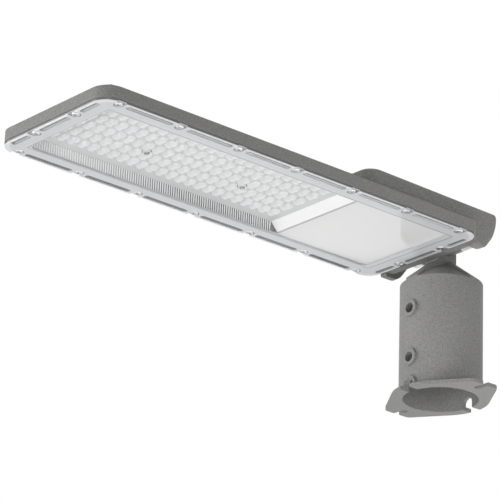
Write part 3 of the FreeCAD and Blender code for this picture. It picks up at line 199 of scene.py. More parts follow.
class Shader(Tree):
    """A material's node tree round one Principled shader."""

    def __init__(self, name: str) -> None:
        """Makes the material.

        Args:
            name: the material's name.
        """
        self.material = bpy.data.materials.new(name)
        self.material.use_nodes = True
        super().__init__(self.material.node_tree)
        self.main = self.tree.nodes["Principled BSDF"]
        self.output = self.tree.nodes["Material Output"]

    def place(self) -> Socket:
        """Returns the piece's own coordinates, in metres."""
        return self.node("ShaderNodeTexCoord").outputs["Object"]

    def axis(self, axis: Axis) -> Socket:
        """Splits off one of the piece's own coordinates.

        Args:
            axis: which one.

        Returns:
            The coordinate in metres.
        """
        parts = self.node("ShaderNodeSeparateXYZ", {"Vector": self.place()})
        return parts.outputs[axis.value]

    def noise(self, scale: float, detail: float = 2.0, rough: float = 0.5) -> Socket:
        """Adds a noise on the piece's own coordinates.

        Args:
            scale: cells per metre.
            detail: octaves.
            rough: strength of each finer octave.

        Returns:
            The noise's value.
        """
        made = self.node("ShaderNodeTexNoise", {"Vector": self.place(), "Scale": scale,
                                                "Detail": detail, "Roughness": rough})
        return made.outputs["Fac"]

    def ramp(self, value: Socket, stops: Sequence[tuple[float, Triple]]) -> Socket:
        """Colours a value.

        Args:
            value: the value, 0 to 1.
            stops: places and colours.

        Returns:
            The colour.
        """
        made = self.node("ShaderNodeValToRGB", {"Fac": value})
        band = made.color_ramp
        while len(band.elements) < len(stops):
            band.elements.new(0.5)
        for element, (spot, colour) in zip(band.elements, stops):
            element.position = spot
            element.color = (*colour, 1.0)
        return made.outputs["Color"]

    def blend(self, kind: Blend, share: Socket | float, first: Socket,
              second: Socket) -> Socket:
        """Blends two colours.

        Args:
            kind: the way of blending.
            share: how much of the second.
            first: a colour.
            second: another colour.

        Returns:
            The blend.
        """
        inputs = {MIX_SHARE: share, MIX_FIRST: first, MIX_SECOND: second}
        made = self.node("ShaderNodeMix", inputs, data_type="RGBA", blend_type=kind.value)
        return made.outputs[MIX_COLOUR]

    def span(self, value: Socket, low: float, high: float) -> Socket:
        """Brings a length to 0 to 1.

        Args:
            value: the length in metres.
            low: the length in millimetres that becomes 0.
            high: the length in millimetres that becomes 1.

        Returns:
            The value between them, held at 0 and 1.
        """
        made = self.node("ShaderNodeMapRange", {"Value": value, "From Min": low * MM,
                                                "From Max": high * MM})
        return made.outputs["Result"]

    def inset(self, middle: Pair, half: Pair, corner: float) -> Socket:
        """Finds how far a place lies inside an upright box with round corners.

        Args:
            middle: the box's middle in millimetres.
            half: half its length and width.
            corner: the radius of its corners, past which the distance stays the same.

        Returns:
            The distance in metres.
        """
        no_height = 1e6
        inner = mm(half[0] - corner, half[1] - corner, no_height)
        value = self.place()
        for kind, other in (("SUBTRACT", {1: mm(*middle, 0.0)}), ("ABSOLUTE", {}),
                            ("SUBTRACT", {1: inner}), ("MAXIMUM", {1: mm(0.0, 0.0, 0.0)})):
            made = self.node("ShaderNodeVectorMath", {0: value} | other, operation=kind)
            value = made.outputs["Vector"]
        far = self.node("ShaderNodeVectorMath", {0: value}, operation="LENGTH")
        left = self.node("ShaderNodeMath", {0: corner * MM, 1: far.outputs["Value"]},
                         operation="SUBTRACT")
        return left.outputs["Value"]

    def bump(self, height: Socket, depth: float, strength: float,
             under: Socket | None = None) -> Socket:
        """Adds a bump.

        Args:
            height: its height, 0 to 1.
            depth: its depth in metres.
            strength: 0 to 1.
            under: a coarser bump that it lies on.

        Returns:
            The normal.
        """
        made = self.node("ShaderNodeBump", {"Distance": depth, "Strength": strength,
                                            "Height": height})
        if under is not None:
            self.link(under, made.inputs["Normal"])
        return made.outputs["Normal"]

    def show(self, shader: Socket) -> None:
        """Makes a shader the one that the material shows."""
        self.link(shader, self.output.inputs["Surface"])


# ----- finishes


@dataclass(frozen=True)
class PowderCoat:
    """Grey textured coat on cast aluminium, with a fine light and dark grain.

    Grain and swell are in cells per metre, depths and the edge's radius in metres.
    """

    light: Triple = (0.350, 0.348, 0.336)
    middle: Triple = (0.258, 0.256, 0.247)
    dark: Triple = (0.180, 0.179, 0.172)
    stops: Triple = (0.30, 0.50, 0.70)
    grain: float = 1100.0
    grain_octaves: float = 3.0
    grain_rough: float = 0.65
    grain_depth: float = 0.00008
    grain_strength: float = 0.5
    swell: float = 420.0
    swell_depth: float = 0.00020
    swell_strength: float = 0.35
    edge: float = 0.0008
    edge_samples: int = 6
    rough: float = 0.55
    shine: float = 0.22

    def build(self) -> Material:
        """Makes the coat.

        Returns:
            Its material.
        """
        shader = Shader("grey_powder_coat")
        grain = shader.noise(self.grain, self.grain_octaves, self.grain_rough)
        colours = zip(self.stops, (self.dark, self.middle, self.light))
        soft = shader.node("ShaderNodeBevel", {"Radius": self.edge}, samples=self.edge_samples)
        swell = shader.bump(shader.noise(self.swell), self.swell_depth, self.swell_strength,
                            soft.outputs["Normal"])
        shader.fill(shader.main, {
            "Base Color": shader.ramp(grain, list(colours)),
            "Normal": shader.bump(grain, self.grain_depth, self.grain_strength, swell),
            "Roughness": self.rough,
            "Specular IOR Level": self.shine,
        })
        return shader.material


@dataclass(frozen=True)
class Ribs:
    """Fine ribs that repeat along an axis, with lengths in millimetres.

    Their feet are darker than their crowns: painted shade in the grooves. Where fade is given,
    this painted shade grows faint and thin between those two places along the head.
    """

    along: Axis
    step: float
    depth: float
    # Share of the colour taken off at the ribs' feet: painted shade.
    dark: float
    phase: float = 0.0
    fade: Pair | None = None
    flank: Pair = (0.35, 0.60)
    faint_flank: Pair = (0.10, 0.35)
    faint_shade_share: float = 0.35

    def shade(self, shader: Shader, colour: Triple) -> tuple[Socket, Socket]:
        """Adds the ribs to a material, with painted shade at their feet.

        Args:
            shader: the material's shader.
            colour: the colour of their crowns.

        Returns:
            The colour and the ribs' height, 0 to 1.
        """
        inputs = {"Vector": shader.place(), "Scale": WAVE_REPEAT / (self.step * MM),
                  "Phase Offset": self.phase}
        height = shader.node("ShaderNodeTexWave", inputs, wave_type="BANDS",
                             bands_direction=self.along.value).outputs["Fac"]
        # Painted shade: the ribs' feet are darker than their crowns.
        foot = (shaded(colour, 1.0 - self.dark), colour)
        shown = shader.ramp(height, list(zip(self.flank, foot)))
        if self.fade is not None:
            faint_shaded_foot = (shaded(colour, 1.0 - self.dark * self.faint_shade_share), colour)
            faint = shader.ramp(height, list(zip(self.faint_flank, faint_shaded_foot)))
            share = shader.span(shader.axis(Axis.ALONG), *self.fade)
            shown = shader.blend(Blend.MIX, share, shown, faint)
        return shown, height


@dataclass(frozen=True)
class ClearPlastic:
    """Clear moulded plastic, more or less milky, which lets the lamps' light through.

    Painted shading gives the share of the colour at places in millimetres, as painted
    highlight
    and painted shade: by rim from the cover's rim inwards, and by height from the pole's mouth
    upwards.
    """

    name: str
    clear: float
    colour: Triple
    rough: float
    ribs: Ribs | None = None
    painted_shading_by_rim: tuple[Pair, ...] = ()
    painted_shading_by_height: tuple[Pair, ...] = ()
    bend: float = 1.55
    through: Triple = (0.92, 0.93, 0.93)

    def paint_shading(self, shader: Shader, value: Socket, stops: Sequence[Pair]) -> Socket:
        """Paints highlight and shade into the colour by a length.

        Args:
            shader: the material's shader.
            value: the length in metres.
            stops: lengths in millimetres and the share of the colour at each.

        Returns:
            The colour.
        """
        low, high = stops[0][0], stops[-1][0]
        band = [((at - low) / (high - low), shaded(self.colour, share)) for at, share in stops]
        return shader.ramp(shader.span(value, low, high), band)

    def build(self) -> Material:
        """Makes the plastic.

        Returns:
            Its material.
        """
        shader = Shader(self.name)
        inputs = {"Base Color": (*self.colour, 1.0), "Roughness": self.rough,
                  "IOR": self.bend, "Transmission Weight": self.clear}
        colours = []
        # Ribs, rim and height darken or lighten the colour: painted shade and painted
        # highlight.
        if self.ribs is not None:
            colour, height = self.ribs.shade(shader, self.colour)
            colours.append(colour)
            inputs["Normal"] = shader.bump(height, self.ribs.depth * MM, 1.0)
        if self.painted_shading_by_rim:
            rim = shader.inset(COVER_MIDDLE, COVER_HALF, COVER_REACH)
            colours.append(self.paint_shading(shader, rim, self.painted_shading_by_rim))
        if self.painted_shading_by_height:
            colours.append(self.paint_shading(shader, shader.axis(Axis.UP), self.painted_shading_by_height))
        if colours:
            colour = colours[0]
            for other in colours[1:]:
                colour = shader.blend(Blend.DARKEN, 1.0, colour, other)
            inputs["Base Color"] = colour
        shader.fill(shader.main, inputs)
        path = shader.node("ShaderNodeLightPath")
        through = shader.node("ShaderNodeBsdfTransparent", {"Color": (*self.through, 1.0)})
        shader.show(shader.mix(path.outputs["Is Shadow Ray"], shader.main.outputs["BSDF"],
                               through.outputs["BSDF"]))
        return shader.material


class Region(Enum):
    """Parts of the cover that look different, with the finish of each."""

    WALL = ClearPlastic("cover_walls", clear=1.0, colour=(0.97, 0.98, 0.985), rough=0.02)
    # Lens tops lighter and the valleys between lenses darker: painted highlight and painted
    # shade.
    LENS = ClearPlastic(
        "cover_lenses", clear=0.18, colour=(0.80, 0.805, 0.81), rough=0.07, bend=1.9,
        painted_shading_by_height=((122.4, 1.20), (123.2, 1.03), (124.2, 0.96), (125.2, 1.0), (125.9, 0.84)))
    # A lighter strip at the rim and a darker line at the panel's edge: painted highlight and
    # shade.
    FLANGE = ClearPlastic(
        "cover_flange", clear=0.10, colour=(0.76, 0.765, 0.78), rough=0.10,
        painted_shading_by_rim=((0.0, 1.2), (1.8, 1.2), (2.0, 1.0), (14.9, 1.0), (15.4, 0.62), (16.1, 0.62),
               (16.5, 1.0)))
    # Darker at the pocket's outer edge and in the rib grooves: painted shadow and painted
    # shade.
    POCKET = ClearPlastic(
        "cover_pockets", clear=0.15, colour=(0.70, 0.71, 0.73), rough=0.15,
        ribs=Ribs(Axis.ALONG, step=1.3, depth=0.04, dark=0.20),
        painted_shading_by_rim=((4.5, 0.30), (5.0, 1.0), (8.0, 1.0)))
    # Opaque white low on the lip, darker above: painted highlight and painted shade.
    LIP = ClearPlastic(
        "cover_lip", clear=0.0, colour=(0.98, 0.98, 0.98), rough=0.10,
        painted_shading_by_height=((116.35, 1.0), (116.75, 0.16)))
    WINDOW = ClearPlastic("cover_window", clear=0.15, colour=(0.88, 0.88, 0.875), rough=0.02)
    # Darker at the slope's foot and in the rib grooves: painted shade.
    SLOPE = ClearPlastic(
        "cover_slope", clear=0.0, colour=(0.99, 0.99, 0.99), rough=0.12,
        ribs=Ribs(Axis.ACROSS, step=2.25, depth=0.10, dark=0.07),
        painted_shading_by_height=((117.7, 0.45), (118.3, 0.45), (118.9, 1.0)))
    # Nearly black rib grooves, fainter towards the free end: painted shade.
    FLUTE = ClearPlastic(
        "cover_side_flutes", clear=0.10, colour=(0.98, 0.985, 0.99), rough=0.05, bend=2.3,
        ribs=Ribs(Axis.ALONG, step=2.25, depth=0.1, dark=0.95, phase=-2.2,
                  fade=(235.0, 345.0)))
    # Dark rib grooves: painted shade.
    END_FLUTE = ClearPlastic(
        "cover_end_flutes", clear=0.10, colour=(0.98, 0.985, 0.99), rough=0.05,
        ribs=Ribs(Axis.ACROSS, step=2.25, depth=0.3, dark=0.85))
    # Grey on the clear step walls: painted shade.
    EDGE = ClearPlastic("cover_edges", clear=0.20, colour=(0.60, 0.61, 0.63), rough=0.12)
    SEAT = ClearPlastic("cover_seats", clear=0.20, colour=(0.62, 0.63, 0.64), rough=0.2)


@dataclass(frozen=True)
class Plain:
    """A plain moulded or machined finish with a faint mottle.

    Grain is in cells per metre, depth in metres.
    """

    name: str
    colour: Triple
    rough: float
    metal: float = 0.0
    mottle: float = 0.06
    grain: float = 300.0
    octaves: float = 3.0
    depth: float = 0.00005
    strength: float = 0.3
    stops: Pair = (0.35, 0.65)

    def build(self) -> Material:
        """Makes the finish.

        Returns:
            Its material.
        """
        shader = Shader(self.name)
        value = shader.noise(self.grain, self.octaves)
        colours = (shaded(self.colour, 1.0 - self.mottle), self.colour)
        shader.fill(shader.main, {
            "Base Color": shader.ramp(value, list(zip(self.stops, colours))),
            "Normal": shader.bump(value, self.depth, self.strength),
            "Roughness": self.rough,
            "Metallic": self.metal,
        })
        return shader.material


def finishes() -> dict[Slot, Material]:
    """Makes the material of each slot but the cover's, whose parts have their own.

    Returns:
        Materials by slot.
    """
    plain = {
        Slot.SEAL: Plain("black_silicone", (0.03, 0.03, 0.03), rough=0.6),
        Slot.STEEL: Plain("stainless_steel", (0.58, 0.58, 0.59), rough=0.4, metal=1.0,
                          mottle=0.1),
        Slot.BOARD: Plain("white_board", (0.80, 0.81, 0.82), rough=0.45),
        Slot.CHIP: Plain("lamp_phosphor", (0.86, 0.80, 0.58), rough=0.4),
        Slot.WHITE: Plain("white_moulding", (0.88, 0.885, 0.88), rough=0.5),
        Slot.BLACK: Plain("black_nylon", (0.02, 0.02, 0.021), rough=0.4),
        Slot.COPPER: Plain("copper_screw", (0.58, 0.26, 0.15), rough=0.4, metal=1.0,
                           mottle=0.3),
        Slot.DRIVER: Plain("driver_case", (0.60, 0.61, 0.62), rough=0.4, metal=0.8),
    }
    made = {slot: finish.build() for slot, finish in plain.items()}
    made[Slot.COAT] = PowderCoat().build()
    return made


# ----- objects and meshes


def new_object(name: str, data: bpy.types.ID) -> Object:
    """Puts a mesh, a lamp or a camera into the scene, as an object at the origin.

    Args:
        name: the object's name.
        data: what it shows.

    Returns:
        The object.
    """
    made = bpy.data.objects.new(name, data)
    bpy.context.scene.collection.objects.link(made)
    return made


def read_solid(solid: Object) -> BMesh:
    """Copies a solid's loose triangles and welds the copy.

    Args:
        solid: the solid, which stays as it is.

    Returns:
        The welded copy.
    """
    work = bmesh.new()
    work.from_mesh(solid.data)
    bmesh.ops.remove_doubles(work, verts=work.verts, dist=WELD)
    return work


def write_mesh(work: BMesh, name: str) -> Mesh:
    """Turns work into a mesh and frees it.

    Args:
        work: what was built.
        name: the mesh's name.

    Returns:
        The mesh.
    """
    mesh = bpy.data.meshes.new(name)
    work.to_mesh(mesh)
    work.free()
    return mesh


def band(work: BMesh, first: list[BMVert], second: list[BMVert]) -> None:
    """Joins two closed loops of vertices with a band of faces.

    Args:
        work: what is being built.
        first: a loop.
        second: another loop with as many vertices.
    """
    count = len(first)
    for k in range(count):
        j = (k + 1) % count
        work.faces.new((first[k], first[j], second[j], second[k]))


def loop_edges(work: BMesh, loop: list[BMVert]) -> list[BMEdge]:
    """Finds the edges of a closed loop of vertices, and makes those that are missing.

    Args:
        work: what is being built.
        loop: the loop.

    Returns:
        Its edges in order.
    """
    pairs = zip(loop, loop[1:] + loop[:1])
    return [work.edges.get(pair) or work.edges.new(pair) for pair in pairs]


def turns(count: int) -> list[float]:
    """Angles in radians round a circle, half a step from the first axis."""
    return [2 * math.pi * (k + 0.5) / count for k in range(count)]


def one_finish(mesh: Mesh, material: Material) -> None:
    """Gives all of a mesh one material."""
    mesh.materials.clear()
    mesh.materials.append(material)


def shade(mesh: Mesh, angle: float) -> None:
    """Shades a mesh smooth between its sharp edges.

    Args:
        mesh: the mesh, whose normals kept from a solid are dropped.
        angle: the angle between faces, in degrees, above which an edge is sharp.
    """
    kept = mesh.attributes.get("custom_normal")
    if kept is not None:
        mesh.attributes.remove(kept)
    mesh.polygons.foreach_set("use_smooth", [True] * len(mesh.polygons))
    mesh.set_sharp_from_angle(angle=math.radians(angle))


class Repeater(Tree):
    """A Geometry Nodes tree that puts a mesh on points and gives the copies a finish."""

    def __init__(self, name: str, inputs: dict[str, object]) -> None:
        """Makes a tree with geometry in and out and named inputs.

        Args:
            name: the tree's name.
            inputs: their values by name, of which Finish is the copies' material.
        """
        super().__init__(bpy.data.node_groups.new(name, "GeometryNodeTree"))
        face = self.tree.interface
        face.new_socket("Geometry", in_out="INPUT", socket_type="NodeSocketGeometry")
        self.values = {}
        for label, value in inputs.items():
            kind = SOCKETS[type(value)]
            socket = face.new_socket(label, in_out="INPUT", socket_type=kind)
            self.values[socket.identifier] = tuple(value) if kind == SOCKETS[Vector] else value
        face.new_socket("Geometry", in_out="OUTPUT", socket_type="NodeSocketGeometry")
        self.source = self.node("NodeGroupInput")
        self.target = self.node("NodeGroupOutput")

    def grid(self, sizes: dict[str, str], middle: str) -> Socket:
        """Adds a grid of points, two by two where no count is given.

        Args:
            sizes: the tree's input for each socket of the grid that is joined.
            middle: the tree's input for the place of the grid's middle.

        Returns:
            The points.
        """
        joined = {label: self.source.outputs[name] for label, name in sizes.items()}
        grid = self.node("GeometryNodeMeshGrid", {"Vertices X": 2, "Vertices Y": 2} | joined)
        moved = self.node("GeometryNodeSetPosition", {
            "Geometry": grid.outputs["Mesh"], "Offset": self.source.outputs[middle]})
        return moved.outputs["Geometry"]

    def copy_to(self, points: Socket, turn: Socket | None = None, weld: float = 0.0) -> None:
        """Puts the mesh on each point and ends the tree.

        Args:
            points: where the copies go.
            turn: how each copy is turned.
            weld: the distance in metres below which their vertices are joined.
        """
        copies = self.node("GeometryNodeInstanceOnPoints", {
            "Points": points, "Instance": self.source.outputs["Geometry"]})
        if turn is not None:
            self.link(turn, copies.inputs["Rotation"])
        instances = {"Geometry": copies.outputs["Instances"]}
        shape = self.node("GeometryNodeRealizeInstances", instances)
        if weld > 0.0:
            shape = self.node("GeometryNodeMergeByDistance", {
                "Geometry": shape.outputs["Geometry"], "Distance": weld})
        dressed = self.node("GeometryNodeSetMaterial", {
            "Geometry": shape.outputs["Geometry"], "Material": self.source.outputs["Finish"]})
        self.link(dressed.outputs["Geometry"], self.target.inputs["Geometry"])

    def apply(self, mesh: Mesh) -> Mesh:
        """Runs the tree on a mesh.

        Args:
            mesh: the geometry that goes in.

        Returns:
            The result as a plain mesh.
        """
        carrier = new_object(self.tree.name + "_carrier", mesh)
        modifier = carrier.modifiers.new(self.tree.name, "NODES")
        modifier.node_group = self.tree
        for identifier, value in self.values.items():
            modifier[identifier] = value
        graph = bpy.context.evaluated_depsgraph_get()
        result = bpy.data.meshes.new_from_object(carrier.evaluated_get(graph))
        carrier.modifiers.clear()
        bpy.data.objects.remove(carrier)
        return result


# ----- the clear cover


@dataclass
class LensShape:
    """One lens of two lobes with a waist, in millimetres from the middle of its foot.

    The powers make its ends, its sides and its dome fuller than an ellipse's.
    """

    half_wide: float = 4.35
    half_long: float = 6.95
    high: float = 3.5
    waist: float = 0.22
    waist_long: float = 2.4
    saddle: float = 0.20
    saddle_long: float = 2.2
    end_power: float = 0.86
    side_power: float = 0.8
    dome_power: float = 0.55

    def outline(self, share: float, turn: float) -> Pair:
        """Finds a point of the lens's plan.

        Args:
            share: 0 at the middle, 1 at the rim.
            turn: the angle round the lens.

        Returns:
            Its place from the lens's middle.
        """
        c, s = math.cos(turn), math.sin(turn)
        y = self.half_long * math.copysign(abs(s) ** self.end_power, s)
        pinch = 1.0 - self.waist * math.exp(-((y / self.waist_long) ** 2))
        x = self.half_wide * math.copysign(abs(c) ** self.side_power, c) * pinch
        return x * share, y * share

    def height(self, share: float, y: float) -> float:
        """How far the lens stands out at a share of its rim and a place along it."""
        dome = self.high * max(0.0, 1.0 - share ** 2) ** self.dome_power
        return dome * (1.0 - self.saddle * math.exp(-((y / self.saddle_long) ** 2)))


@dataclass
class ClearCover:
    """The moulded cover: the solid's own flange and walls, with smooth lenses in its floor.

    All in millimetres: the lens array, the basin's and the cover's outlines, the heights
    of the level faces, and the two board screws that are seen through the floor.
    """

    materials: dict[Region, Material]
    lens: LensShape = field(default_factory=LensShape)
    columns: int = 24
    rows: int = 5
    column_step: float = 9.52
    row_step: float = 15.4
    first_column: float = 155.04
    around: int = 20
    rings: tuple[float, ...] = (1.0, 0.95, 0.84, 0.66, 0.42)
    lens_weld: float = 0.02
    basin_low: float = 142.54
    basin_high: float = 383.5
    basin_half: float = 47.5
    slope_run: float = 8.0
    flute_deep: float = 1.0
    flute_slack: float = 0.1
    lens_room: float = 1.0
    cover_low: float = 19.7
    cover_high: float = 399.7
    cover_half: float = 64.8
    cover_corner: float = 13.0
    lip: float = 0.3
    face: float = 116.1
    pocket: float = 117.1
    seat: float = 117.5
    panel: float = 117.7
    floor: float = 125.9
    level_slack: float = 0.05
    screws: tuple[Pair, ...] = ((302.6, -7.7), (207.4, -7.7))
    screw_zone: float = 4.2
    sharp: float = 30.0

    def inset(self, x: float, y: float) -> float:
        """Finds how far a place lies inside the cover's outline.

        Args:
            x: the place along the head in millimetres.
            y: the place across the head in millimetres.

        Returns:
            The distance in millimetres.
        """
        low, high, half = self.cover_low, self.cover_high, self.cover_half
        corner = self.cover_corner
        past_x = max(low + corner - x, x - high + corner, 0.0)
        past_y = max(abs(y) - half + corner, 0.0)
        if past_x > 0.0 and past_y > 0.0:
            return corner - math.hypot(past_x, past_y)
        return min(x - low, high - x, half - abs(y))

    def region(self, face: BMFace) -> Region:
        """Says which part of the cover a face belongs to.

        Args:
            face: a face of the cover.

        Returns:
            Its region.
        """
        x, y, z = face.calc_center_median() / MM
        low, high, half = self.basin_low, self.basin_high, self.basin_half
        down = -face.normal.z
        if down > FACES_DOWN:
            for level, found in ((self.face, Region.FLANGE), (self.pocket, Region.POCKET),
                                 (self.panel, Region.WINDOW), (self.seat, Region.SEAT)):
                if abs(z - level) < self.level_slack:
                    return found
        if abs(down) < FACES_ASIDE:
            if self.inset(x, y) < self.lip:
                return Region.LIP
            if self.face < z < self.panel:
                return Region.EDGE
        if abs(down) < UPRIGHT and self.panel < z < self.floor:
            if low < x < high and -self.flute_slack < abs(y) - half < self.flute_deep:
                return Region.FLUTE
            if -self.flute_slack < x - high < self.flute_deep and abs(y) < half:
                return Region.END_FLUTE
        if any(math.hypot(x - a, y - b) < self.screw_zone for a, b in self.screws):
            return Region.WALL
        if SLOPED[0] < down < SLOPED[1] and low - self.slope_run < x < low and abs(y) < half:
            return Region.SLOPE
        in_basin = low < x < high and abs(y) < half - self.level_slack
        if in_basin and self.panel + self.lens_room < z < self.floor + self.level_slack:
            return Region.LENS
        return Region.WALL

    def cell(self) -> Mesh:
        """Builds one cell of the floor with its lens, about the lens's middle.

        Returns:
            The cell's mesh.
        """
        work = bmesh.new()
        loops = []
        for share in self.rings:
            loop = []
            for turn in turns(self.around):
                x, y = self.lens.outline(share, turn)
                z = self.floor - self.lens.height(share, y)
                loop.append(work.verts.new(mm(x, y, z)))
            loops.append(loop)
        for outer, inner in zip(loops, loops[1:]):
            band(work, outer, inner)
        top = work.verts.new(mm(0, 0, self.floor - self.lens.height(0.0, 0.0)))
        last = loops[-1]
        for k in range(self.around):
            work.faces.new((last[k], top, last[(k + 1) % self.around]))
        half_x, half_y = self.column_step / 2, self.row_step / 2
        corners = [work.verts.new(mm(x, y, self.floor))
                   for x, y in ((half_x, half_y), (-half_x, half_y),
                                (-half_x, -half_y), (half_x, -half_y))]
        border = loop_edges(work, corners) + loop_edges(work, loops[0])
        bmesh.ops.triangle_fill(work, edges=border, use_beauty=True)
        bmesh.ops.recalc_face_normals(work, faces=work.faces)
        if sum(f.normal.z * f.calc_area() for f in work.faces) > 0:
            bmesh.ops.reverse_faces(work, faces=work.faces)
        return write_mesh(work, "lens_cell")

    def array(self) -> Mesh:
        """Repeats the cell over the floor with Geometry Nodes.

        Returns:
            The lens array's mesh.
        """
        length = (self.columns - 1) * self.column_step
        maker = Repeater("lens_array", {
            "Columns": self.columns,
            "Rows": self.rows,
            "Length": length * MM,
            "Width": (self.rows - 1) * self.row_step * MM,
            "Middle": mm(self.first_column + length / 2, 0, 0),
            "Finish": self.materials[Region.LENS],
        })
        points = maker.grid({"Vertices X": "Columns", "Vertices Y": "Rows",
                             "Size X": "Length", "Size Y": "Width"}, "Middle")
        maker.copy_to(points, weld=self.lens_weld * MM)
        return maker.apply(self.cell())

    def clear_floor(self, work: BMesh) -> None:
        """Takes the solid's own lenses and the basin's floor away.

        Args:
            work: the cover.
        """
        low, high, half = (v * MM for v in (self.basin_low, self.basin_high, self.basin_half))
        floor = self.floor * MM
        slack, beyond, within = (v * MM for v in (0.015, 1.0, 2.0))

        def in_floor(face: BMFace) -> bool:
            """Says whether a face is the basin's floor or a lens on it.

            Args:
                face: a face of the cover.

            Returns:
                Whether it goes.
            """
            x, y, _ = face.calc_center_median()
            inside = low - slack < x < high + beyond and abs(y) < half + beyond
            over = low + within < x < high - within and abs(y) < half - within
            level = all(abs(v.co.z - floor) < slack for v in face.verts)
            lens = over and all(v.co.z < floor + slack for v in face.verts)
            return inside and (lens or (level and face.normal.z < -FACES_ASIDE))

        gone = [f for f in work.faces if in_floor(f)]
        bmesh.ops.delete(work, geom=gone, context="FACES")
        LOG.info("cover: %d faces of the floor taken away", len(gone))

    def build(self, solid: Object) -> Object:
        """Joins the solid's walls and the lens array into one closed piece.

        Args:
            solid: the cover's solid.

        Returns:
            The cover piece.
        """
        work = read_solid(solid)
        self.clear_floor(work)
        array = self.array()
        work.from_mesh(array)
        bpy.data.meshes.remove(array)
        bmesh.ops.remove_doubles(work, verts=work.verts, dist=WELD)
        border = [e for e in work.edges if e.is_boundary]
        filled = bmesh.ops.triangle_fill(work, edges=border, use_beauty=True)
        LOG.info("cover: %d border edges, %d filled", len(border), len(filled["geom"]))
        bmesh.ops.recalc_face_normals(work, faces=work.faces)
        regions = list(Region)
        for face in work.faces:
            face.material_index = regions.index(self.region(face))
        mesh = write_mesh(work, "clear_cover_lenses")
        for region in regions:
            mesh.materials.append(self.materials[region])
        shade(mesh, self.sharp)
        piece = new_object("clear_cover_lenses", mesh)
        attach(piece, "head")
        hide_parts("clear_cover")
        return piece


# ----- the cast housing


@dataclass
class CastHousing:
    """The housing with plain cheeks, whose ends follow the photograph's curve.

    All in millimetres: a cheek's inner and outer side across the head, how far along the
    head its free end reaches, and the curve of that end as heights and places along the head.
    """

    material: Material
    cheek: Pair = (47.0, 54.1)
    reach: float = 9.0
    slack: float = 0.02
    cut_slack: float = 0.01
    sharp: float = 30.0
    ends: tuple[Pair, ...] = (
        (146.1, -6.6), (145.7, -8.2), (144.7, -9.6), (143.0, -10.2), (141.0, -10.1),
        (136.5, -9.5), (132.8, -8.4), (129.6, -7.3), (126.9, -6.1), (124.4, -4.6),
        (122.1, -2.8), (119.5, -0.8), (117.1, 1.2), (115.3, 3.6), (114.2, 6.4), (113.9, 9.0),
    )

    def end_at(self, height: float) -> float:
        """Finds where a cheek ends.

        Args:
            height: the height in millimetres.

        Returns:
            The place along the head in millimetres.
        """
        for (z1, x1), (z0, x0) in zip(self.ends, self.ends[1:]):
            if z0 <= height <= z1:
                return x0 + (x1 - x0) * (height - z0) / (z1 - z0)
        return self.ends[0][1] if height > self.ends[0][0] else self.ends[-1][1]

    def drop_pads(self, work: BMesh) -> None:
        """Takes the round pads off the cheeks and closes the flat sides.

        Args:
            work: the housing.
        """
        outer = self.cheek[1] * MM
        slack = self.slack * MM
        ahead, aside = (self.reach + 2.0) * MM, outer + 1.0 * MM

        def on_pad(face: BMFace) -> bool:
            """Says whether a face belongs to a round pad.

            Args:
                face: a face of the housing.

            Returns:
                Whether it goes.
            """
            x, y, _ = face.calc_center_median()
            sides = [abs(v.co.y) for v in face.verts]
            near = x < ahead and abs(y) < aside and min(sides) > outer - slack
            return near and (max(sides) > outer + slack or face.normal.y * y < 0)

        gone = [f for f in work.faces if on_pad(f)]
        bmesh.ops.delete(work, geom=gone, context="FACES")
        for side in (-1, 1):
            border = [e for e in work.edges if e.is_boundary and e.verts[0].co.y * side > 0]
            bmesh.ops.contextual_create(work, geom=border)
            LOG.info("housing: %d edges closed", len(border))

    def on_cheek(self, face: BMFace) -> bool:
        """Says whether a face lies on the free end of a cheek.

        Args:
            face: a face of the housing.

        Returns:
            Whether all its vertices do.
        """
        low, high = (self.cheek[0] - self.slack) * MM, (self.cheek[1] + self.slack) * MM
        return all(low < abs(v.co.y) < high and v.co.x < self.reach * MM for v in face.verts)

    def round_ends(self, work: BMesh) -> None:
        """Moves the end faces of the cheeks onto the curve.

        Args:
            work: the housing.
        """
        for height, _ in self.ends[1:-1]:
            faces = [f for f in work.faces if self.on_cheek(f)]
            geometry = faces + list({e for f in faces for e in f.edges})
            geometry += list({v for f in faces for v in f.verts})
            bmesh.ops.bisect_plane(work, geom=geometry, dist=self.cut_slack * MM,
                                   plane_co=mm(0, 0, height), plane_no=(0, 0, 1))
        ending = set()
        for face in work.faces:
            endwise = face.normal.x < -UPRIGHT and abs(face.normal.y) < UPRIGHT
            if endwise and self.on_cheek(face):
                ending.update(face.verts)
        for vert in ending:
            vert.co.x = self.end_at(vert.co.z / MM) * MM

    def build(self, solid: Object) -> Object:
        """Makes the housing piece.

        Args:
            solid: the housing's solid.

        Returns:
            The housing piece.
        """
        work = read_solid(solid)
        self.drop_pads(work)
        bmesh.ops.recalc_face_normals(work, faces=work.faces)
        self.round_ends(work)
        LOG.info("housing: %d open edges", sum(e.is_boundary for e in work.edges))
        mesh = write_mesh(work, "housing_cast")
        one_finish(mesh, self.material)
        shade(mesh, self.sharp)
        piece = new_object("housing_cast", mesh)
        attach(piece, "head")
        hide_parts("housing")
        return piece


# ----- cover screws


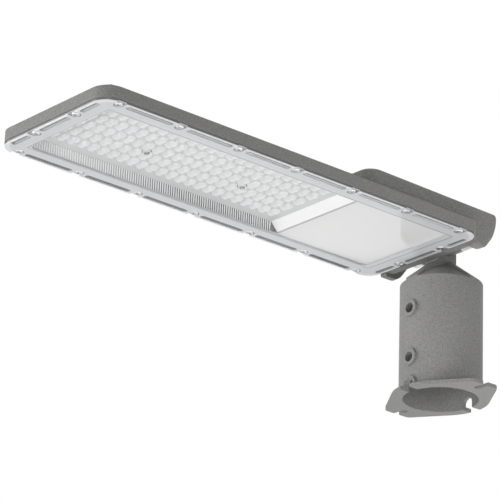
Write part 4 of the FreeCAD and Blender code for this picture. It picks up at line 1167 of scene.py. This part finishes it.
@dataclass
class CoverScrews:
    """Pan head screws with a cross recess round the cover, made once and repeated.

    All in millimetres: the crown gives shares of the head's radius and heights above the
    seat, and the places are those of the rows along the sides and at the ends.
    """

    material: Material
    seat: float = 117.5
    head: float = 3.2
    crown: tuple[Pair, ...] = ((1.0, 0.0), (1.0, 0.9), (0.9, 1.4), (0.66, 1.8))
    shank: float = 2.0
    long: float = 8.5
    around: int = 24
    recess_arm: float = 1.7
    recess_half: float = 0.42
    recess_deep: float = 1.0
    recess_taper: float = 0.7
    side_first: float = 39.2
    side_step: float = 57.4
    side_half: float = 60.0
    side_count: int = 7
    end_low: float = 24.5
    end_high: float = 394.9
    end_half: float = 24.1
    seed: int = 7
    most_turn: float = math.pi / 2
    sharp: float = 40.0

    def screw(self) -> Mesh:
        """Builds one screw, with its seat at the origin's height and its head below.

        Returns:
            The screw's mesh.
        """
        work = bmesh.new()
        rings = [(self.shank, self.long), (self.shank, 0.0)]
        rings += [(self.head * share, -height) for share, height in self.crown]
        loops = [[work.verts.new(mm(radius * math.cos(t), radius * math.sin(t), height))
                  for t in turns(self.around)] for radius, height in rings]
        for lower, upper in zip(loops, loops[1:]):
            band(work, lower, upper)
        work.faces.new(loops[0])
        arm, half, top = self.recess_arm, self.recess_half, -self.crown[-1][1]
        cross = [(half, half), (half, arm), (-half, arm), (-half, half), (-arm, half),
                 (-arm, -half), (-half, -half), (-half, -arm), (half, -arm), (half, -half),
                 (arm, -half), (arm, half)]
        rim = [work.verts.new(mm(x, y, top)) for x, y in cross]
        taper = self.recess_taper
        foot = [work.verts.new(mm(x * taper, y * taper, top + self.recess_deep))
                for x, y in cross]
        band(work, rim, foot)
        work.faces.new(foot)
        border = loop_edges(work, loops[-1]) + loop_edges(work, rim)
        bmesh.ops.triangle_fill(work, edges=border, use_beauty=True)
        bmesh.ops.recalc_face_normals(work, faces=work.faces)
        return write_mesh(work, "cover_screw")

    def build(self) -> Object:
        """Repeats the screw along the sides and ends with Geometry Nodes.

        Returns:
            The piece with all the screws.
        """
        length = self.side_step * (self.side_count - 1)
        maker = Repeater("screw_places", {
            "Side Count": self.side_count,
            "Side Length": length * MM,
            "Side Width": 2 * self.side_half * MM,
            "Side Middle": mm(self.side_first + length / 2, 0, self.seat),
            "End Length": (self.end_high - self.end_low) * MM,
            "End Width": 2 * self.end_half * MM,
            "End Middle": mm((self.end_low + self.end_high) / 2, 0, self.seat),
            "Most Turn": self.most_turn,
            "Seed": self.seed,
            "Finish": self.material,
        })
        both = maker.node("GeometryNodeJoinGeometry")
        for name, counts in (("End", {}), ("Side", {"Vertices X": "Side Count"})):
            sizes = counts | {"Size X": name + " Length", "Size Y": name + " Width"}
            maker.link(maker.grid(sizes, name + " Middle"), both.inputs["Geometry"])
        turn = maker.node("FunctionNodeRandomValue", {
            RANDOM_MOST: maker.source.outputs["Most Turn"],
            "Seed": maker.source.outputs["Seed"]}, data_type="FLOAT")
        spin = maker.node("ShaderNodeCombineXYZ", {"Z": turn.outputs[RANDOM_NUMBER]})
        maker.copy_to(both.outputs["Geometry"], turn=spin.outputs["Vector"])
        mesh = maker.apply(self.screw())
        one_finish(mesh, self.material)
        shade(mesh, self.sharp)
        piece = new_object("cover_screw_set", mesh)
        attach(piece, "head")
        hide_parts("cover_screws")
        return piece


# ----- solids that keep their shape


@dataclass
class SolidParts:
    """Nodes that are shown as they are, with a finish for each."""

    materials: dict[Slot, Material]
    names: dict[Slot, tuple[str, ...]] = field(default_factory=lambda: {
        Slot.COAT: ("pole_adaptor",),
        Slot.SEAL: ("cover_gasket", "gland_seal"),
        Slot.STEEL: ("driver_screws", "earth_screw", "pivot_bolt", "pivot_nut",
                     "pivot_washers", "spring_washer"),
        Slot.BOARD: ("led_board",),
        Slot.CHIP: ("led_chips",),
        Slot.WHITE: ("board_connector", "bay_shield", "terminal_block"),
        Slot.BLACK: ("cable_gland", "gland_nut"),
        Slot.COPPER: ("board_screws",),
        Slot.DRIVER: ("led_driver",),
    })

    def dress(self, nodes: dict[str, Object]) -> None:
        """Gives each node its finish.

        Args:
            nodes: the frame's objects by name.
        """
        for slot, names in self.names.items():
            for name in names:
                for place in nodes[name].material_slots:
                    place.material = self.materials[slot]
                LOG.info("dressed %s as %s", name, slot.value)


# ----- camera, lamps, room and floor


@dataclass(frozen=True)
class Lamp:
    """A square soft lamp: its place and aim in metres, its side and its power."""

    name: str
    spot: Triple
    size: float
    power: float
    aim: Triple = (0.18, 0.0, 0.11)

    def build(self) -> None:
        """Adds the lamp."""
        data = bpy.data.lights.new(self.name, "AREA")
        data.size = self.size
        data.energy = self.power
        made = new_object(self.name, data)
        ahead = Vector(self.aim) - Vector(self.spot)
        made.location = self.spot
        made.rotation_mode = "QUATERNION"
        made.rotation_quaternion = ahead.to_track_quat("-Z", "Y")


@dataclass
class Studio:
    """White room with soft lamps, and the photograph's view.

    The camera's place is in millimetres and its three axes are directions. The floor's
    level and half its side are in metres.
    """

    eye: Triple = (1660.0, 1720.9, -822.9)
    right: Triple = (-0.7553, 0.6547, 0.0301)
    up: Triple = (0.2627, 0.2603, 0.9291)
    back: Triple = (0.6005, 0.7097, -0.3685)
    lens: float = 227.8
    sensor: float = 36.0
    clip: Pair = (0.05, 50.0)
    room: float = 0.12
    floor_level: float = -3.2
    floor_half: float = 9.0
    floor_grey: float = 0.9
    floor_rough: float = 0.8
    lamps: tuple[Lamp, ...] = (
        Lamp("lamp_low_end", (2.03, 0.75, -0.82), 1.2, 11.0),
        Lamp("lamp_low_far", (2.02, -0.78, -0.82), 1.2, 18.0),
        Lamp("lamp_low_back", (-1.67, -0.75, -0.82), 1.2, 8.5),
        Lamp("lamp_near", (1.71, 1.53, 0.49), 1.2, 5.0),
        Lamp("lamp_far", (1.71, -1.53, 0.49), 1.2, 13.4),
        Lamp("lamp_above", (0.73, 1.30, 1.80), 1.2, 9.0),
        Lamp("lamp_below", (0.19, 0.32, -0.59), 0.35, 1.95, POLE_TOP),
        Lamp("lamp_side", (-0.35, 0.61, -0.20), 0.35, 1.6, POLE_TOP),
        Lamp("lamp_top", (0.3, -0.2, 2.3), 1.6, 10.0),
    )

    def camera(self) -> None:
        """Adds the camera."""
        data = bpy.data.cameras.new("camera")
        data.sensor_width = self.sensor
        data.lens = self.lens
        data.clip_start, data.clip_end = self.clip
        made = new_object("camera", data)
        turn = Matrix((self.right, self.up, self.back)).transposed().to_4x4()
        made.matrix_world = Matrix.Translation(mm(*self.eye)) @ turn
        bpy.context.scene.camera = made

    def world(self) -> None:
        """Lights the room evenly, and shows it white where it is seen or mirrored."""
        world = bpy.data.worlds.new("room")
        bpy.context.scene.world = world
        world.use_nodes = True
        tree, white = Tree(world.node_tree), (1.0, 1.0, 1.0, 1.0)
        shown = world.node_tree.nodes["Background"]
        tree.fill(shown, {"Color": white, "Strength": 1.0})
        soft = tree.node("ShaderNodeBackground", {"Color": white, "Strength": self.room})
        mixed = tree.mix(tree.white_rays(), soft.outputs["Background"],
                         shown.outputs["Background"])
        tree.link(mixed, world.node_tree.nodes["World Output"].inputs["Surface"])

    def floor(self) -> None:
        """Adds the pale floor, far below the head."""
        half, level = self.floor_half, self.floor_level
        corners = [(-half, -half, level), (half, -half, level), (half, half, level),
                   (-half, half, level)]
        mesh = bpy.data.meshes.new("floor")
        mesh.from_pydata(corners, [], [(0, 1, 2, 3)])
        shader = Shader("pale_floor")
        grey, white = self.floor_grey, shader.node("ShaderNodeEmission")
        shader.fill(shader.main, {"Base Color": (grey, grey, grey, 1.0),
                                  "Roughness": self.floor_rough})
        shader.show(shader.mix(shader.white_rays(), shader.main.outputs["BSDF"],
                               white.outputs["Emission"]))
        mesh.materials.append(shader.material)
        new_object("floor", mesh)

    def build(self) -> None:
        """Sets up camera, room, floor and lamps."""
        self.camera()
        self.world()
        self.floor()
        for lamp in self.lamps:
            lamp.build()
        bpy.context.scene.view_settings.view_transform = "Standard"


def main() -> None:
    """Builds the head's looks in order."""
    logging.basicConfig(level=logging.INFO, format="%(message)s")
    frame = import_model()
    Studio().build()
    materials = finishes()
    nodes = frame["nodes"]
    SolidParts(materials).dress(nodes)
    regions = {region: region.value.build() for region in Region}
    for piece in (
        CastHousing(materials[Slot.COAT]).build(nodes["housing"]),
        ClearCover(regions).build(nodes["clear_cover"]),
        CoverScrews(materials[Slot.STEEL]).build(),
    ):
        LOG.info("built %s: %d faces", piece.name, len(piece.data.polygons))


if __name__ == "__main__":
    main()
